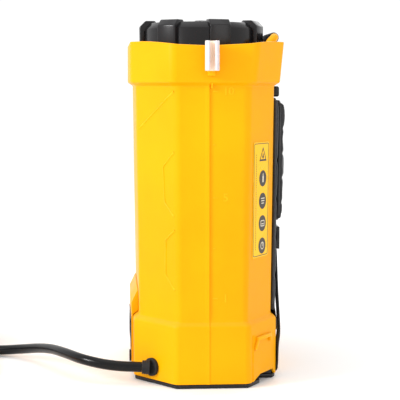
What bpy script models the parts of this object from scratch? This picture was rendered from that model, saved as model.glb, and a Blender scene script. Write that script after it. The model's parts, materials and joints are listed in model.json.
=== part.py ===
"""A battery knapsack sprayer: a ten litre tank with its pump, battery, hose and harness.

Metres, +Z up. The control panel looks along -Y and the wearer's side along +Y. The model is laid out from the
axis of the filling neck, and its root then moves it so that the origin is under the middle of the body.
"""
from math import cos, pi, radians, sin, tan, tau

import bmesh
import bpy
from mathutils import Matrix, Vector

# Clearances
GAP = 0.0003
RUNNING = 0.0005

# The tank: body, skirt and collar, in one moulding
WALL = 0.003
BASE_THICK = 0.0048
SKIRT_TOP = 0.0706
LEDGE_RISE = 0.0049
BODY_TOP = 0.339
UNDERCUT = 0.004
COLLAR_HEIGHT = 0.0446
COLLAR_TOP = BODY_TOP + COLLAR_HEIGHT
COLLAR_RISE = 0.0054
BASIN_DEPTH = 0.0316
BASIN_FLOOR = COLLAR_TOP - BASIN_DEPTH
HALF_WIDTH = 0.150
FRONT = 0.0816
BACK = 0.0774
TAPER = 0.003
CORNER_X = 0.055
FRONT_CORNER_Y = 0.0426
BACK_CORNER_Y = 0.0344
SKIRT_SIDE = 0.003
SKIRT_OUT = 0.0064
COLLAR_SIDE = 0.006
COLLAR_OUT = 0.0062
COLLAR_FLARE = 0.0045
BODY_RADIUS = 0.014
SKIRT_RADIUS = 0.010

# The neck and the lid
NECK_RADIUS = 0.064
NECK_BORE = NECK_RADIUS - 0.004
NECK_HEIGHT = 0.046
NECK_TOP = BASIN_FLOOR + NECK_HEIGHT
LID_RADIUS = NECK_RADIUS + 0.006
LID_ABOVE_NECK = 0.016
LID_TOP = NECK_TOP + LID_ABOVE_NECK
LID_ABOVE_BASIN = 0.006
LID_FOOT = BASIN_FLOOR + LID_ABOVE_BASIN
LID_WALL = 0.003
LID_CHAMFER = 0.007
LID_RIBS = 7
LID_RIB_PHASE = radians(13.8)
LID_RIB_WIDTH = 0.025
LID_RIB_DEPTH = 0.005
LID_RIB_TOP = 0.0026
RIB_FOOT = 0.002
VENT_RADIUS = 0.0049
VALVE_RADIUS = 0.0085
SEAL_THICK = 0.002
STRAINER_RADIUS = NECK_BORE - 0.0025
STRAINER_DEPTH = 0.070

# The lance clip on its lug
CLIP_RADIUS = 0.0064
CLIP_THICK = 0.0029
CLIP_FOOT = BASIN_FLOOR + 0.0035
CLIP_HEIGHT = 0.0325
CLIP_MOUTH = radians(62)
LUG_WIDTH = 0.0075
LUG_REACH = 0.008
LUG_BELOW_CLIP = 0.002

# The carry handle
HANDLE_HALF = 0.056
HANDLE_RADIUS = 0.0048
HANDLE_TOP = NECK_TOP + 0.003
HANDLE_Y = 0.0742
HANDLE_BEND = 0.014
GRIP_THICK = 0.0025
GRIP_BEHIND_LID = 0.0015
HAND_NOTCH_HALF = 0.046
HAND_NOTCH_FLOOR = BASIN_FLOOR + 0.016

# The control housing on the front of the skirt
HOUSING_HALF = 0.070
HOUSING_FOOT = 0.008
HOUSING_TOP = 0.100
HOUSING_OUT = 0.0016
HOUSING_SLOPE = 0.014
HOUSING_EDGE = 0.005
SCREW_ABOVE_SOCKET = 0.016
PLUG_HALF = 0.060
PLUG_FOOT = 0.0125
PLUG_TOP = 0.0655
PLUG_DEPTH = 0.017
PANEL_HALF = 0.046
PANEL_FOOT = 0.028
PANEL_TOP = 0.062
PANEL_LIP = 0.0025
PANEL_WALL = 0.003
POCKET_DEPTH = 0.0125
ROCKER_X = -0.026
ROCKER_RADIUS = 0.008
ROCKER_LENGTH = 0.013
ROCKER_TILT = radians(6)
KNOB_X = 0.027
KNOB_RADIUS = 0.0095
KNOB_LENGTH = 0.0105
KNOB_STEM = 0.003
POINTER = 0.0006
LENS_SIZE = (0.020, 0.010)
SOCKET_X = 0.053
SOCKET_Z = 0.0185
SOCKET_RADIUS = 0.0045
CAP_RADIUS = 0.0062
CAP_THICK = 0.0024

# The base
BASE_INSET = 0.0015
NOTCH_X = 0.100
NOTCH_Y = 0.058
NOTCH_TOP = 0.0105
STRAP_SLOT_DEPTH = 0.0088
SCREW_RADIUS = 0.0028
SCREW_LENGTH = 0.010

# Battery, pump and plumbing in the skirt
BATTERY_SIZE = (0.151, 0.094, SKIRT_TOP - WALL - BASE_THICK - GAP - RUNNING)
BATTERY_ASIDE = 0.0115
BATTERY_X = BATTERY_ASIDE + 2 * WALL - HALF_WIDTH - SKIRT_SIDE + BATTERY_SIZE[0] / 2
BATTERY_CENTRE = (BATTERY_X, -0.003)
PUMP_Y = 0.028
PUMP_Z = 0.037
MOTOR_START = HALF_WIDTH - 0.126
MOTOR_LENGTH = 0.055
MOTOR_RADIUS = 0.0185
HEAD_LENGTH = 0.042
HEAD_SIDE = 0.048
HEAD_BORE = 0.014
SHAFT_RADIUS = 0.002
CAM_RADIUS = 0.009
CAM_OFFSET = 0.003
OUTLET_X = MOTOR_START + 0.028
OUTLET_Y = -0.025
OUTLET_RADIUS = 0.009
TUBE_RADIUS = 0.0055

# The hose, its grommet and the trigger handle at its end
HOSE_RADIUS = 0.006
HOSE_Z = 0.020
GROMMET_ALONG = 0.5345
GROMMET_RADIUS = 0.0103
GROMMET_BODY = 0.0075
GROMMET_FLANGE = 0.004
COIL_RADIUS = 0.070
COIL_CENTRE = (-0.130, -0.350)
COIL_TURNS = 1.75
COIL_PITCH = 2 * HOSE_RADIUS + 0.0006
FLOOR_HOSE_Z = HOSE_RADIUS + GAP
TRIGGER_START = 0.015
TRIGGER_Y = COIL_CENTRE[1] + COIL_RADIUS
TRIGGER_RADIUS = 0.0125
TRIGGER_Z = TRIGGER_RADIUS + GAP
TRIGGER_LENGTH = 0.122
NUT_RADIUS = 0.0110
NUT_LENGTH = 0.014
LEVER_SIDE = 0.028
LEVER_LENGTH = 0.092
LEVER_WIDTH = 0.016
LEVER_THICK = 0.004
LEVER_CHEEK = 0.003
PIN_RADIUS = 0.0022
PIVOT_SIDE = 0.021
LUG_HALF = 0.006

# The harness on the wearer's side
PAD_HALF = 0.092
PAD_TOP = BODY_TOP - 0.014
PAD_FOOT = 0.052
PAD_THICK = 0.0066
PAD_TAIL = 0.0016
STRAP_X = 0.052
STRAP_WIDTH = 0.058
STRAP_TOP = PAD_TOP - 0.003
STRAP_FOOT = 0.182
STRAP_THICK = 0.0045
ANCHOR_WIDTH = 0.040
ANCHOR_FOOT = PAD_TOP + 0.0015
ANCHOR_OUT = 0.0085
BUCKLE_SIZE = (0.036, 0.0042, 0.026)
WEB_WIDTH = 0.024
WEB_THICK = 0.0014
WEB_FOOT_X = 0.084

# The label on the rear right facet
LABEL_FOOT = 0.145
LABEL_TOP = 0.276
LABEL_WIDTH = 0.033
LABEL_THICK = 0.0004

# The sprayer spans from the collar's far side to the clip, and from the charge cap to the handle's grip
CLIP_X = HALF_WIDTH + COLLAR_SIDE + LUG_REACH + GAP + CLIP_RADIUS + CLIP_THICK / 2
CLIP_REACH = CLIP_X + (CLIP_RADIUS + CLIP_THICK / 2) * cos(CLIP_MOUTH / 2)
BAR_Y = LID_RADIUS + LID_RIB_DEPTH + GRIP_BEHIND_LID + GRIP_THICK + HANDLE_RADIUS
FRONT_REACH = FRONT - TAPER + SKIRT_OUT + HOUSING_OUT + CAP_THICK + 2 * GAP
BACK_REACH = BAR_Y + HANDLE_RADIUS + GRIP_THICK
ROOT_X = (HALF_WIDTH + COLLAR_SIDE - CLIP_REACH) / 2
ROOT_Y = (FRONT_REACH - BACK_REACH) / 2

SIDES = ((1, "right"), (-1, "left"))
FRONT_FACET = 0
REAR_FACET = 2
UP = Vector((0, 0, 1))


def clear_scene():
    for obj in list(bpy.data.objects):
        bpy.data.objects.remove(obj, do_unlink=True)


def collection(name, hidden=False):
    made = bpy.data.collections.new(name)
    bpy.context.scene.collection.children.link(made)
    made.hide_render = hidden
    return made


def material(name, color, roughness, metallic=0.0, alpha=1.0):
    made = bpy.data.materials.new(name)
    made.use_nodes = True
    shader = made.node_tree.nodes["Principled BSDF"]
    shader.inputs["Base Color"].default_value = (*color, 1.0)
    shader.inputs["Roughness"].default_value = roughness
    shader.inputs["Metallic"].default_value = metallic
    shader.inputs["Alpha"].default_value = alpha
    return made


clear_scene()
PARTS = collection("knapsack_sprayer")
CUTTERS = collection("cutters", hidden=True)
ROOT = bpy.data.objects.new("sprayer_root", None)
PARTS.objects.link(ROOT)

YELLOW = material("tank_yellow", (1.0, 0.55, 0.01), 0.35)
BLACK = material("black_plastic", (0.02, 0.02, 0.022), 0.4)
RUBBER = material("black_rubber", (0.015, 0.015, 0.016), 0.65)
HOSE = material("hose_rubber", (0.012, 0.012, 0.013), 0.45)
WHITE = material("clip_white", (0.85, 0.85, 0.83), 0.4)
LABEL = material("label_film", (1.0, 0.66, 0.03), 0.3)
LENS = material("lens_clear", (0.2, 0.25, 0.22), 0.1)
STEEL = material("bright_steel", (0.55, 0.55, 0.56), 0.3, metallic=1.0)
BRASS = material("brass", (0.75, 0.53, 0.22), 0.3, metallic=1.0)
BOARD = material("circuit_green", (0.02, 0.16, 0.07), 0.5)
CLEAR_TUBE = material("tube_pvc", (0.75, 0.78, 0.76), 0.25)
FOAM = material("pad_fabric", (0.02, 0.02, 0.021), 0.85)
WEBBING = material("webbing", (0.018, 0.018, 0.019), 0.8)


# ---------------------------------------------------------------- shapes

def place(obj, name, finish, location=(0, 0, 0), rotation=None):
    """Names the object, gives it its material and hangs it on the root."""
    obj.name = name
    obj.data.name = name
    obj.data.materials.append(finish)
    for owner in list(obj.users_collection):
        owner.objects.unlink(obj)
    PARTS.objects.link(obj)
    obj.parent = ROOT
    obj.location = location
    if rotation is not None:
        obj.rotation_euler = rotation
    return obj


def smooth(obj, angle=radians(35)):
    obj.data.shade_smooth()
    obj.data.set_sharp_from_angle(angle=angle)
    return obj


def bevel(obj, width, segments=2, angle=radians(40)):
    made = obj.modifiers.new("edges", "BEVEL")
    made.width = width
    made.segments = segments
    made.limit_method = "ANGLE"
    made.angle_limit = angle
    return obj


def combine(obj, other, operation):
    """A Boolean of the object with another, which then counts as a cutter."""
    made = obj.modifiers.new(operation.lower() + "_" + other.name, "BOOLEAN")
    made.operation = operation
    made.solver = "EXACT"
    made.object = other
    for owner in list(other.users_collection):
        owner.objects.unlink(other)
    CUTTERS.objects.link(other)
    other.hide_render = True
    other.display_type = "WIRE"
    return obj


def cut(obj, other):
    return combine(obj, other, "DIFFERENCE")


def join(obj, other):
    return combine(obj, other, "UNION")


def mesh_object(form):
    mesh = bpy.data.meshes.new("shape")
    form.to_mesh(mesh)
    form.free()
    return bpy.data.objects.new("shape", mesh)


def box(name, low, high, finish, origin=None):
    """A block between two opposite corners, with its origin at its middle or at the given point."""
    low, high = (Vector(pick(pair) for pair in zip(low, high)) for pick in (min, max))
    middle = (low + high) / 2
    origin = middle if origin is None else Vector(origin)
    form = bmesh.new()
    size = high - low
    spread = Matrix.Translation(middle - origin) @ Matrix.Diagonal((*size, 1))
    bmesh.ops.create_cube(form, size=1.0, matrix=spread)
    return place(mesh_object(form), name, finish, origin)


def rod(name, start, end, radius, finish, sides=24, end_radius=None):
    """A cylinder, or a cone, from one point to another."""
    start, end = Vector(start), Vector(end)
    form = bmesh.new()
    bmesh.ops.create_cone(form, cap_ends=True, segments=sides, radius1=radius,
                          radius2=radius if end_radius is None else end_radius, depth=(end - start).length)
    made = place(mesh_object(form), name, finish, (start + end) / 2)
    made.rotation_euler = (end - start).to_track_quat("Z", "Y").to_euler()
    return smooth(made)


def turned(name, profile, finish, location, direction=UP, steps=64):
    """A profile of (radius, height) points, down its outer side, screwed round the direction."""
    mesh = bpy.data.meshes.new("profile")
    mesh.from_pydata([(radius, 0, height) for radius, height in profile],
                     [(i, i + 1) for i in range(len(profile) - 1)], [])
    made = place(bpy.data.objects.new("profile", mesh), name, finish, location)
    made.rotation_euler = Vector(direction).to_track_quat("Z", "Y").to_euler()
    screw = made.modifiers.new("turn", "SCREW")
    screw.steps = steps
    screw.render_steps = steps
    screw.use_merge_vertices = True
    screw.merge_threshold = 0.00001
    screw.use_smooth_shade = False
    return made


def ring(outer, inner, low, high):
    """The closed profile of a ring, down its outer side and up its bore."""
    return [(outer, high), (outer, low), (inner, low), (inner, high), (outer, high)]


def loft(sections):
    """A closed skin through sections with equal numbers of points, capped at both ends."""
    form = bmesh.new()
    rows = [[form.verts.new(point) for point in section] for section in sections]
    for lower, upper in zip(rows, rows[1:]):
        for i in range(len(lower)):
            following = (i + 1) % len(lower)
            form.faces.new((lower[i], lower[following], upper[following], upper[i]))
    form.faces.new(list(reversed(rows[0])))
    form.faces.new(rows[-1])
    bmesh.ops.recalc_face_normals(form, faces=form.faces)
    return form


def extruded(name, outline, low_x, high_x, finish, origin=(0, 0, 0)):
    """An outline of (y, z) points, carried along X, with the origin at the given point."""
    origin = Vector(origin)
    sections = [[Vector((x, y, z)) - origin for y, z in outline] for x in (low_x, high_x)]
    return place(mesh_object(loft(sections)), name, finish, origin)


def tube(name, points, radius, finish, resolution=3):
    """A round tube along the points, as a curve with filled caps."""
    curve = bpy.data.curves.new("line", "CURVE")
    curve.dimensions = "3D"
    spline = curve.splines.new("POLY")
    spline.points.add(len(points) - 1)
    for slot, point in zip(spline.points, points):
        slot.co = (*point, 1.0)
    curve.bevel_depth = radius
    curve.bevel_resolution = resolution
    curve.use_fill_caps = True
    return place(bpy.data.objects.new("line", curve), name, finish)


def strip(name, points, across, width, thickness, finish):
    """A flat band through the points. Its width lies along across at each point."""
    sections = []
    for i, point in enumerate(points):
        before = Vector(points[max(i - 1, 0)])
        after = Vector(points[min(i + 1, len(points) - 1)])
        heading = (after - before).normalized()
        side = (Vector(across) - heading * Vector(across).dot(heading)).normalized() * width / 2
        out = side.cross(after - before).normalized() * thickness / 2
        middle = Vector(point)
        sections.append([middle - side - out, middle + side - out, middle + side + out, middle - side + out])
    return place(mesh_object(loft(sections)), name, finish)


def smooth_line(knots, spacing):
    """Points a spacing apart on a smooth curve through the knots."""
    knots = [Vector(knot) for knot in knots]
    ends = [2 * knots[0] - knots[1]] + knots + [2 * knots[-1] - knots[-2]]
    fine = []
    for a, b, c, d in zip(ends, ends[1:], ends[2:], ends[3:]):
        for step in range(24):
            t = step / 24
            fine.append(0.5 * (2 * b + (c - a) * t + (2 * a - 5 * b + 4 * c - d) * t * t
                               + (3 * b - a - 3 * c + d) * t ** 3))
    fine.append(knots[-1])
    lengths = [0.0]
    for before, after in zip(fine, fine[1:]):
        lengths.append(lengths[-1] + (after - before).length)
    count = max(2, round(lengths[-1] / spacing))
    points = []
    for number in range(count + 1):
        wanted = lengths[-1] * number / count
        index = min(sum(length < wanted for length in lengths), len(fine) - 1)
        before = max(index - 1, 0)
        span = lengths[index] - lengths[before]
        share = (wanted - lengths[before]) / span if span else 0.0
        points.append(fine[before].lerp(fine[index], share))
    return points


# ---------------------------------------------------------------- plans of the tank

def plan(half_width, front, back, grow=0.0):
    """The eight corners of a section seen from above, counterclockwise from the front face's right end."""
    half_face = half_width - CORNER_X - grow
    right = [(half_face, -front), (half_width, -front + FRONT_CORNER_Y + grow),
             (half_width, back - BACK_CORNER_Y - grow), (half_face, back)]
    return [Vector(corner) for corner in right + [(-x, y) for x, y in reversed(right)]]


def corner(corners, index):
    """A corner with the directions to its neighbours, and half the angle between them."""
    here = corners[index]
    before = (corners[index - 1] - here).normalized()
    after = (corners[(index + 1) % len(corners)] - here).normalized()
    return here, before, after, before.angle(after) / 2


def inset(corners, distance):
    moved = []
    for index in range(len(corners)):
        here, before, after, half = corner(corners, index)
        moved.append(here + (before + after).normalized() * distance / sin(half))
    return moved


def rounded(corners, radius, steps=4):
    """The outline with each corner an arc."""
    outline = []
    for index in range(len(corners)):
        here, before, after, half = corner(corners, index)
        centre = here + (before + after).normalized() * radius / sin(half)
        start = here + before * radius / tan(half) - centre
        for step in range(steps + 1):
            outline.append(centre + Matrix.Rotation((pi - 2 * half) * step / steps, 2) @ start)
    return outline


def level(outline, height):
    return [Vector((x, y, height)) for x, y in outline]


def rim_height(y):
    """The collar's rim: level along the sides, rising towards the front and the back."""
    share = min(max((abs(y) - 0.25 * BACK) / (0.75 * BACK), 0.0), 1.0)
    return COLLAR_TOP + COLLAR_RISE * share * share * (3 - 2 * share)


SKIRT = plan(HALF_WIDTH + SKIRT_SIDE, FRONT - TAPER + SKIRT_OUT, BACK - TAPER + SKIRT_OUT, SKIRT_SIDE)
BODY_FOOT = plan(HALF_WIDTH, FRONT - TAPER, BACK - TAPER)
BODY_HEAD = plan(HALF_WIDTH, FRONT, BACK)
COLLAR = plan(HALF_WIDTH + COLLAR_SIDE, FRONT + COLLAR_OUT, BACK + COLLAR_OUT, COLLAR_SIDE / 4)
RIM = plan(HALF_WIDTH + COLLAR_SIDE, FRONT + COLLAR_OUT, BACK + COLLAR_OUT + COLLAR_FLARE, COLLAR_SIDE / 4)
SKIRT_FRONT = SKIRT[0].y
SKIRT_BACK = SKIRT[3].y
BODY_FOOT_Z = SKIRT_TOP + LEDGE_RISE
TANK_FLOOR = BODY_FOOT_Z + WALL
CEILING = BODY_FOOT_Z - WALL


def facet(foot, head, foot_z, head_z, first, along, height):
    """A frame on a wall: its point, its directions along and up, and its outward normal.

    first is the number of the corner where the wall starts, and along runs from 0 to 1 over its width.
    """
    share = (height - foot_z) / (head_z - foot_z)
    second = (first + 1) % len(foot)
    starts = foot[first].lerp(head[first], share)
    ends = foot[second].lerp(head[second], share)
    spot = starts.lerp(ends, along)
    point = Vector((spot.x, spot.y, height))
    sideways = Vector((*(ends - starts), 0)).normalized()
    low = foot[first].lerp(foot[second], along)
    high = head[first].lerp(head[second], along)
    rise = Vector((*(high - low), head_z - foot_z)).normalized()
    normal = sideways.cross(rise).normalized()
    return point, sideways, normal.cross(sideways), normal


def on_skirt(first, along, height):
    return facet(SKIRT, SKIRT, 0, SKIRT_TOP, first, along, height)


def on_body(first, along, height):
    return facet(BODY_FOOT, BODY_HEAD, BODY_FOOT_Z, BODY_TOP, first, along, height)


GROMMET_POINT, _, _, GROMMET_NORMAL = on_skirt(FRONT_FACET, 1 - GROMMET_ALONG, HOSE_Z)


def back_wall(height):
    """The Y of the body's back face at a height."""
    return on_body(3, 0.5, height)[0].y


# ---------------------------------------------------------------- tank

def cavity(sections):
    return place(mesh_object(loft(sections)), "cavity", YELLOW)


def tank():
    """Skirt, body and collar in one shell, with the liquid space, the pump space and the neck cut out."""
    edge = SKIRT_RADIUS
    rim = rounded(RIM, BODY_RADIUS)
    inner = rounded(inset(RIM, WALL), BODY_RADIUS - WALL)
    floor = rounded(inset(COLLAR, 1.2 * WALL), BODY_RADIUS - WALL)
    shell = [
        level(rounded(SKIRT, edge), BASE_THICK + GAP),
        level(rounded(SKIRT, edge), SKIRT_TOP),
        level(rounded(BODY_FOOT, edge), BODY_FOOT_Z),
        level(rounded(BODY_HEAD, BODY_RADIUS), BODY_TOP),
        level(rounded(COLLAR, BODY_RADIUS), BODY_TOP + UNDERCUT),
        [Vector((x, y, rim_height(y))) for x, y in rim],
        [Vector((x, y, rim_height(y))) for x, y in inner],
        level(floor, BASIN_FLOOR),
    ]
    body = place(mesh_object(loft(shell)), "tank", YELLOW)
    lug_x = HALF_WIDTH + COLLAR_SIDE
    join(body, box("lug", (lug_x - WALL / 2, -LUG_WIDTH / 2, BODY_TOP + 2 * UNDERCUT),
                   (lug_x + LUG_REACH, LUG_WIDTH / 2, CLIP_FOOT + CLIP_HEIGHT - LUG_BELOW_CLIP), YELLOW))
    for side, _ in SIDES:
        cut(body, box("notch", (side * NOTCH_X, NOTCH_Y, -WALL),
                      (side * (HALF_WIDTH + 2 * SKIRT_SIDE), SKIRT_BACK + WALL, NOTCH_TOP), YELLOW))
        slot_start = (side * (WEB_FOOT_X - WEB_WIDTH / 2 - WALL), SKIRT_BACK - STRAP_SLOT_DEPTH, -WALL)
        slot_end = (side * (NOTCH_X + 2 * GAP), SKIRT_BACK + WALL, NOTCH_TOP)
        cut(body, box("strap_slot", slot_start, slot_end, YELLOW))
    neck = rod("neck_wall", (0, 0, BASIN_FLOOR - WALL / 2), (0, 0, NECK_TOP), NECK_RADIUS, YELLOW, sides=64)
    join(body, neck)
    cut(body, cavity([level(rounded(inset(BODY_FOOT, WALL), edge - WALL), TANK_FLOOR),
                      level(rounded(inset(BODY_HEAD, WALL), BODY_RADIUS - WALL), BASIN_FLOOR - WALL)]))
    cut(body, cavity([level(rounded(inset(SKIRT, WALL), edge - WALL), -WALL),
                      level(rounded(inset(SKIRT, WALL), edge - WALL), SKIRT_TOP - WALL),
                      level(rounded(inset(BODY_FOOT, WALL), edge - WALL), CEILING)]))
    cut(body, rod("neck_bore", (0, 0, BASIN_FLOOR - 2 * WALL), (0, 0, NECK_TOP + WALL), NECK_BORE, YELLOW,
                  sides=64))
    cut(body, box("hand_notch", (-HAND_NOTCH_HALF, BACK - WALL, HAND_NOTCH_FLOOR),
                  (HAND_NOTCH_HALF, RIM[3].y + WALL, COLLAR_TOP + 2 * COLLAR_RISE), YELLOW))
    cut(body, box("housing_hole", (-PLUG_HALF - GAP, SKIRT_FRONT - WALL, PLUG_FOOT - GAP),
                  (PLUG_HALF + GAP, SKIRT_FRONT + 2 * WALL, PLUG_TOP + GAP), YELLOW))
    inward = GROMMET_NORMAL * 3 * WALL
    cut(body, rod("grommet_hole", GROMMET_POINT - inward, GROMMET_POINT + inward, GROMMET_BODY + GAP, YELLOW,
                  sides=32))
    outlet = Vector((OUTLET_X, OUTLET_Y, CEILING))
    cut(body, rod("outlet_hole", outlet - UP * WALL, outlet + UP * 4 * WALL, OUTLET_RADIUS + GAP, YELLOW))
    return smooth(body)


def lance_clip():
    """A spring clip of C section on the lug, open towards +X."""
    steps = 20
    form = bmesh.new()
    rows = []
    for height in (0, CLIP_HEIGHT):
        angles = [CLIP_MOUTH / 2 + (tau - CLIP_MOUTH) * step / steps for step in range(steps + 1)]
        rows.append([form.verts.new((CLIP_RADIUS * cos(a), CLIP_RADIUS * sin(a), height)) for a in angles])
    for i in range(steps):
        form.faces.new((rows[0][i], rows[0][i + 1], rows[1][i + 1], rows[1][i]))
    clip = place(mesh_object(form), "lance_clip", WHITE, (CLIP_X, 0, CLIP_FOOT))
    shell = clip.modifiers.new("wall", "SOLIDIFY")
    shell.thickness = CLIP_THICK
    shell.offset = 0
    return clip


def label():
    """The film with the markings, on the rear right facet."""
    point, along, rise, normal = on_body(REAR_FACET, 0.5, (LABEL_FOOT + LABEL_TOP) / 2)
    size = (LABEL_WIDTH, LABEL_TOP - LABEL_FOOT, LABEL_THICK)
    film = box("label", [-s / 2 for s in size], [s / 2 for s in size], LABEL)
    turn = Matrix((along, rise, normal)).transposed()
    film.location = point + normal * (GAP + LABEL_THICK / 2)
    film.rotation_euler = turn.to_euler()
    return film


def carry_handle():
    """A bar across the back of the basin on two posts, with a soft grip round its middle."""
    bar_z = HANDLE_TOP - HANDLE_RADIUS
    foot_z = BASIN_FLOOR + GAP
    bend = HANDLE_BEND
    half = [(HANDLE_HALF, HANDLE_Y, foot_z), (HANDLE_HALF, HANDLE_Y, bar_z - bend)]
    for step in range(1, 6):
        turn = pi / 2 * step / 5
        half.append((HANDLE_HALF - bend * (1 - cos(turn)), HANDLE_Y + (BAR_Y - HANDLE_Y) * sin(turn) ** 2,
                     bar_z - bend * (1 - sin(turn))))
    points = half + [(-x, y, z) for x, y, z in reversed(half)]
    handle = tube("carry_handle", points, HANDLE_RADIUS, YELLOW, resolution=4)
    grip_half = HANDLE_HALF - bend - 0.005
    grip = turned("handle_grip", ring(HANDLE_RADIUS + GRIP_THICK, HANDLE_RADIUS + GAP, -grip_half, grip_half),
                  RUBBER, (0, BAR_Y, bar_z), (1, 0, 0), steps=24)
    return handle, grip


# ---------------------------------------------------------------- lid

def lid():
    """A screw lid: a deep cap with flat ribs round it and a ring inside that presses the seal."""
    inner = LID_RADIUS - LID_WALL
    press_z = NECK_TOP + GAP + LID_WALL / 2 + GAP + SEAL_THICK + GAP
    under = LID_TOP - LID_WALL
    profile = [(0, LID_TOP), (LID_RADIUS - LID_CHAMFER, LID_TOP), (LID_RADIUS, LID_TOP - LID_CHAMFER),
               (LID_RADIUS, LID_FOOT), (inner, LID_FOOT), (inner, under - LID_WALL),
               (NECK_RADIUS - RUNNING, under - LID_WALL), (NECK_RADIUS - RUNNING, press_z),
               (NECK_BORE + RUNNING, press_z), (NECK_BORE + RUNNING, under), (0, under)]
    cap = turned("lid", profile, BLACK, (0, 0, 0))
    inside = LID_RADIUS - LID_WALL / 2
    outside = LID_RADIUS + LID_RIB_DEPTH
    top = LID_TOP + LID_RIB_TOP
    start = LID_RADIUS - 2.2 * LID_CHAMFER
    section = [(inside, LID_FOOT + RIB_FOOT), (outside, LID_FOOT + RIB_FOOT), (outside, top - LID_CHAMFER),
               (outside - LID_CHAMFER, top), (start, top), (start, under + LID_WALL / 2),
               (inside, LID_TOP - LID_CHAMFER - LID_WALL)]
    ends = (-LID_RIB_WIDTH / 2, LID_RIB_WIDTH / 2)
    for number in range(LID_RIBS):
        rib = place(mesh_object(loft([[Vector((x, y, z)) for x, z in section] for y in ends])), "rib", BLACK)
        rib.rotation_euler.z = LID_RIB_PHASE + tau * number / LID_RIBS
        join(cap, rib)
    cut(cap, rod("vent_hole", (0, 0, under - WALL), (0, 0, LID_TOP + WALL), VENT_RADIUS + GAP, BLACK))
    return smooth(cap)


def lid_fittings():
    """The seal, the strainer basket and the breather valve."""
    flange_z = NECK_TOP + GAP
    flange = LID_WALL / 2
    basket = [(NECK_RADIUS - 0.001, flange_z + flange), (NECK_RADIUS - 0.001, flange_z),
              (STRAINER_RADIUS, flange_z), (STRAINER_RADIUS - 0.004, flange_z - STRAINER_DEPTH),
              (0, flange_z - STRAINER_DEPTH), (0, flange_z - STRAINER_DEPTH + 0.0018),
              (STRAINER_RADIUS - 0.006, flange_z - STRAINER_DEPTH + 0.0018),
              (STRAINER_RADIUS - 0.002, flange_z + flange), (NECK_RADIUS - 0.001, flange_z + flange)]
    turned("strainer", basket, WHITE, (0, 0, 0), steps=48)
    seal_z = flange_z + flange + GAP
    turned("lid_seal", ring(NECK_RADIUS - 0.001, NECK_BORE - 0.001, seal_z, seal_z + SEAL_THICK), RUBBER,
           (0, 0, 0), steps=48)
    valve = [(0, 0.0035), (VALVE_RADIUS - 0.001, 0.0035), (VALVE_RADIUS, 0.0025), (VALVE_RADIUS, GAP),
             (VENT_RADIUS, GAP), (VENT_RADIUS, -0.008), (0, -0.008)]
    turned("breather_valve", valve, RUBBER, (0, 0, LID_TOP), steps=32)


# ---------------------------------------------------------------- control housing

HOUSING_FACE = SKIRT_FRONT - GAP - HOUSING_OUT
POCKET_FLOOR = HOUSING_FACE + POCKET_DEPTH
PANEL_MIDDLE = (PANEL_FOOT + PANEL_TOP) / 2


def control_housing():
    """The cover of the pump space: a plate over the skirt and the ledge, with a deep plug behind it."""
    back = SKIRT_FRONT - GAP
    slope_foot = on_body(7, 0.5, BODY_FOOT_Z)[0].y - GAP
    slope_head = on_body(7, 0.5, HOUSING_TOP)[0].y - GAP
    outline = [(back, HOUSING_FOOT), (HOUSING_FACE, HOUSING_FOOT),
               (HOUSING_FACE, HOUSING_TOP - HOUSING_SLOPE), (slope_head - 0.001, HOUSING_TOP), (slope_head, HOUSING_TOP),
               (slope_foot, BODY_FOOT_Z + 0.001), (back, SKIRT_TOP + 0.001)]
    cover = extruded("control_housing", outline, -HOUSING_HALF, HOUSING_HALF, YELLOW)
    join(cover, box("plug", (-PLUG_HALF, HOUSING_FACE + HOUSING_OUT / 2, PLUG_FOOT),
                    (PLUG_HALF, HOUSING_FACE + PLUG_DEPTH, PLUG_TOP), YELLOW))
    cut(cover, box("window", (-PANEL_HALF - GAP, HOUSING_FACE - WALL, PANEL_FOOT - GAP),
                   (PANEL_HALF + GAP, HOUSING_FACE + 2 * PLUG_DEPTH, PANEL_TOP + GAP), YELLOW))
    cut(cover, rod("socket_hole", (SOCKET_X, HOUSING_FACE - WALL, SOCKET_Z),
                   (SOCKET_X, HOUSING_FACE + 2 * PLUG_DEPTH, SOCKET_Z), SOCKET_RADIUS + GAP, YELLOW))
    for x, z in housing_screw_places():
        cut(cover, rod("screw_hole", (x, HOUSING_FACE - WALL, z), (x, HOUSING_FACE + 0.0135, z),
                       SCREW_RADIUS + GAP, YELLOW, sides=16))
    return smooth(cover)


def housing_screw_places():
    heights = (SOCKET_Z + SCREW_ABOVE_SOCKET, PLUG_TOP - HOUSING_EDGE)
    return [(side * (PLUG_HALF - HOUSING_EDGE), z) for side in (-1, 1) for z in heights]


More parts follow.
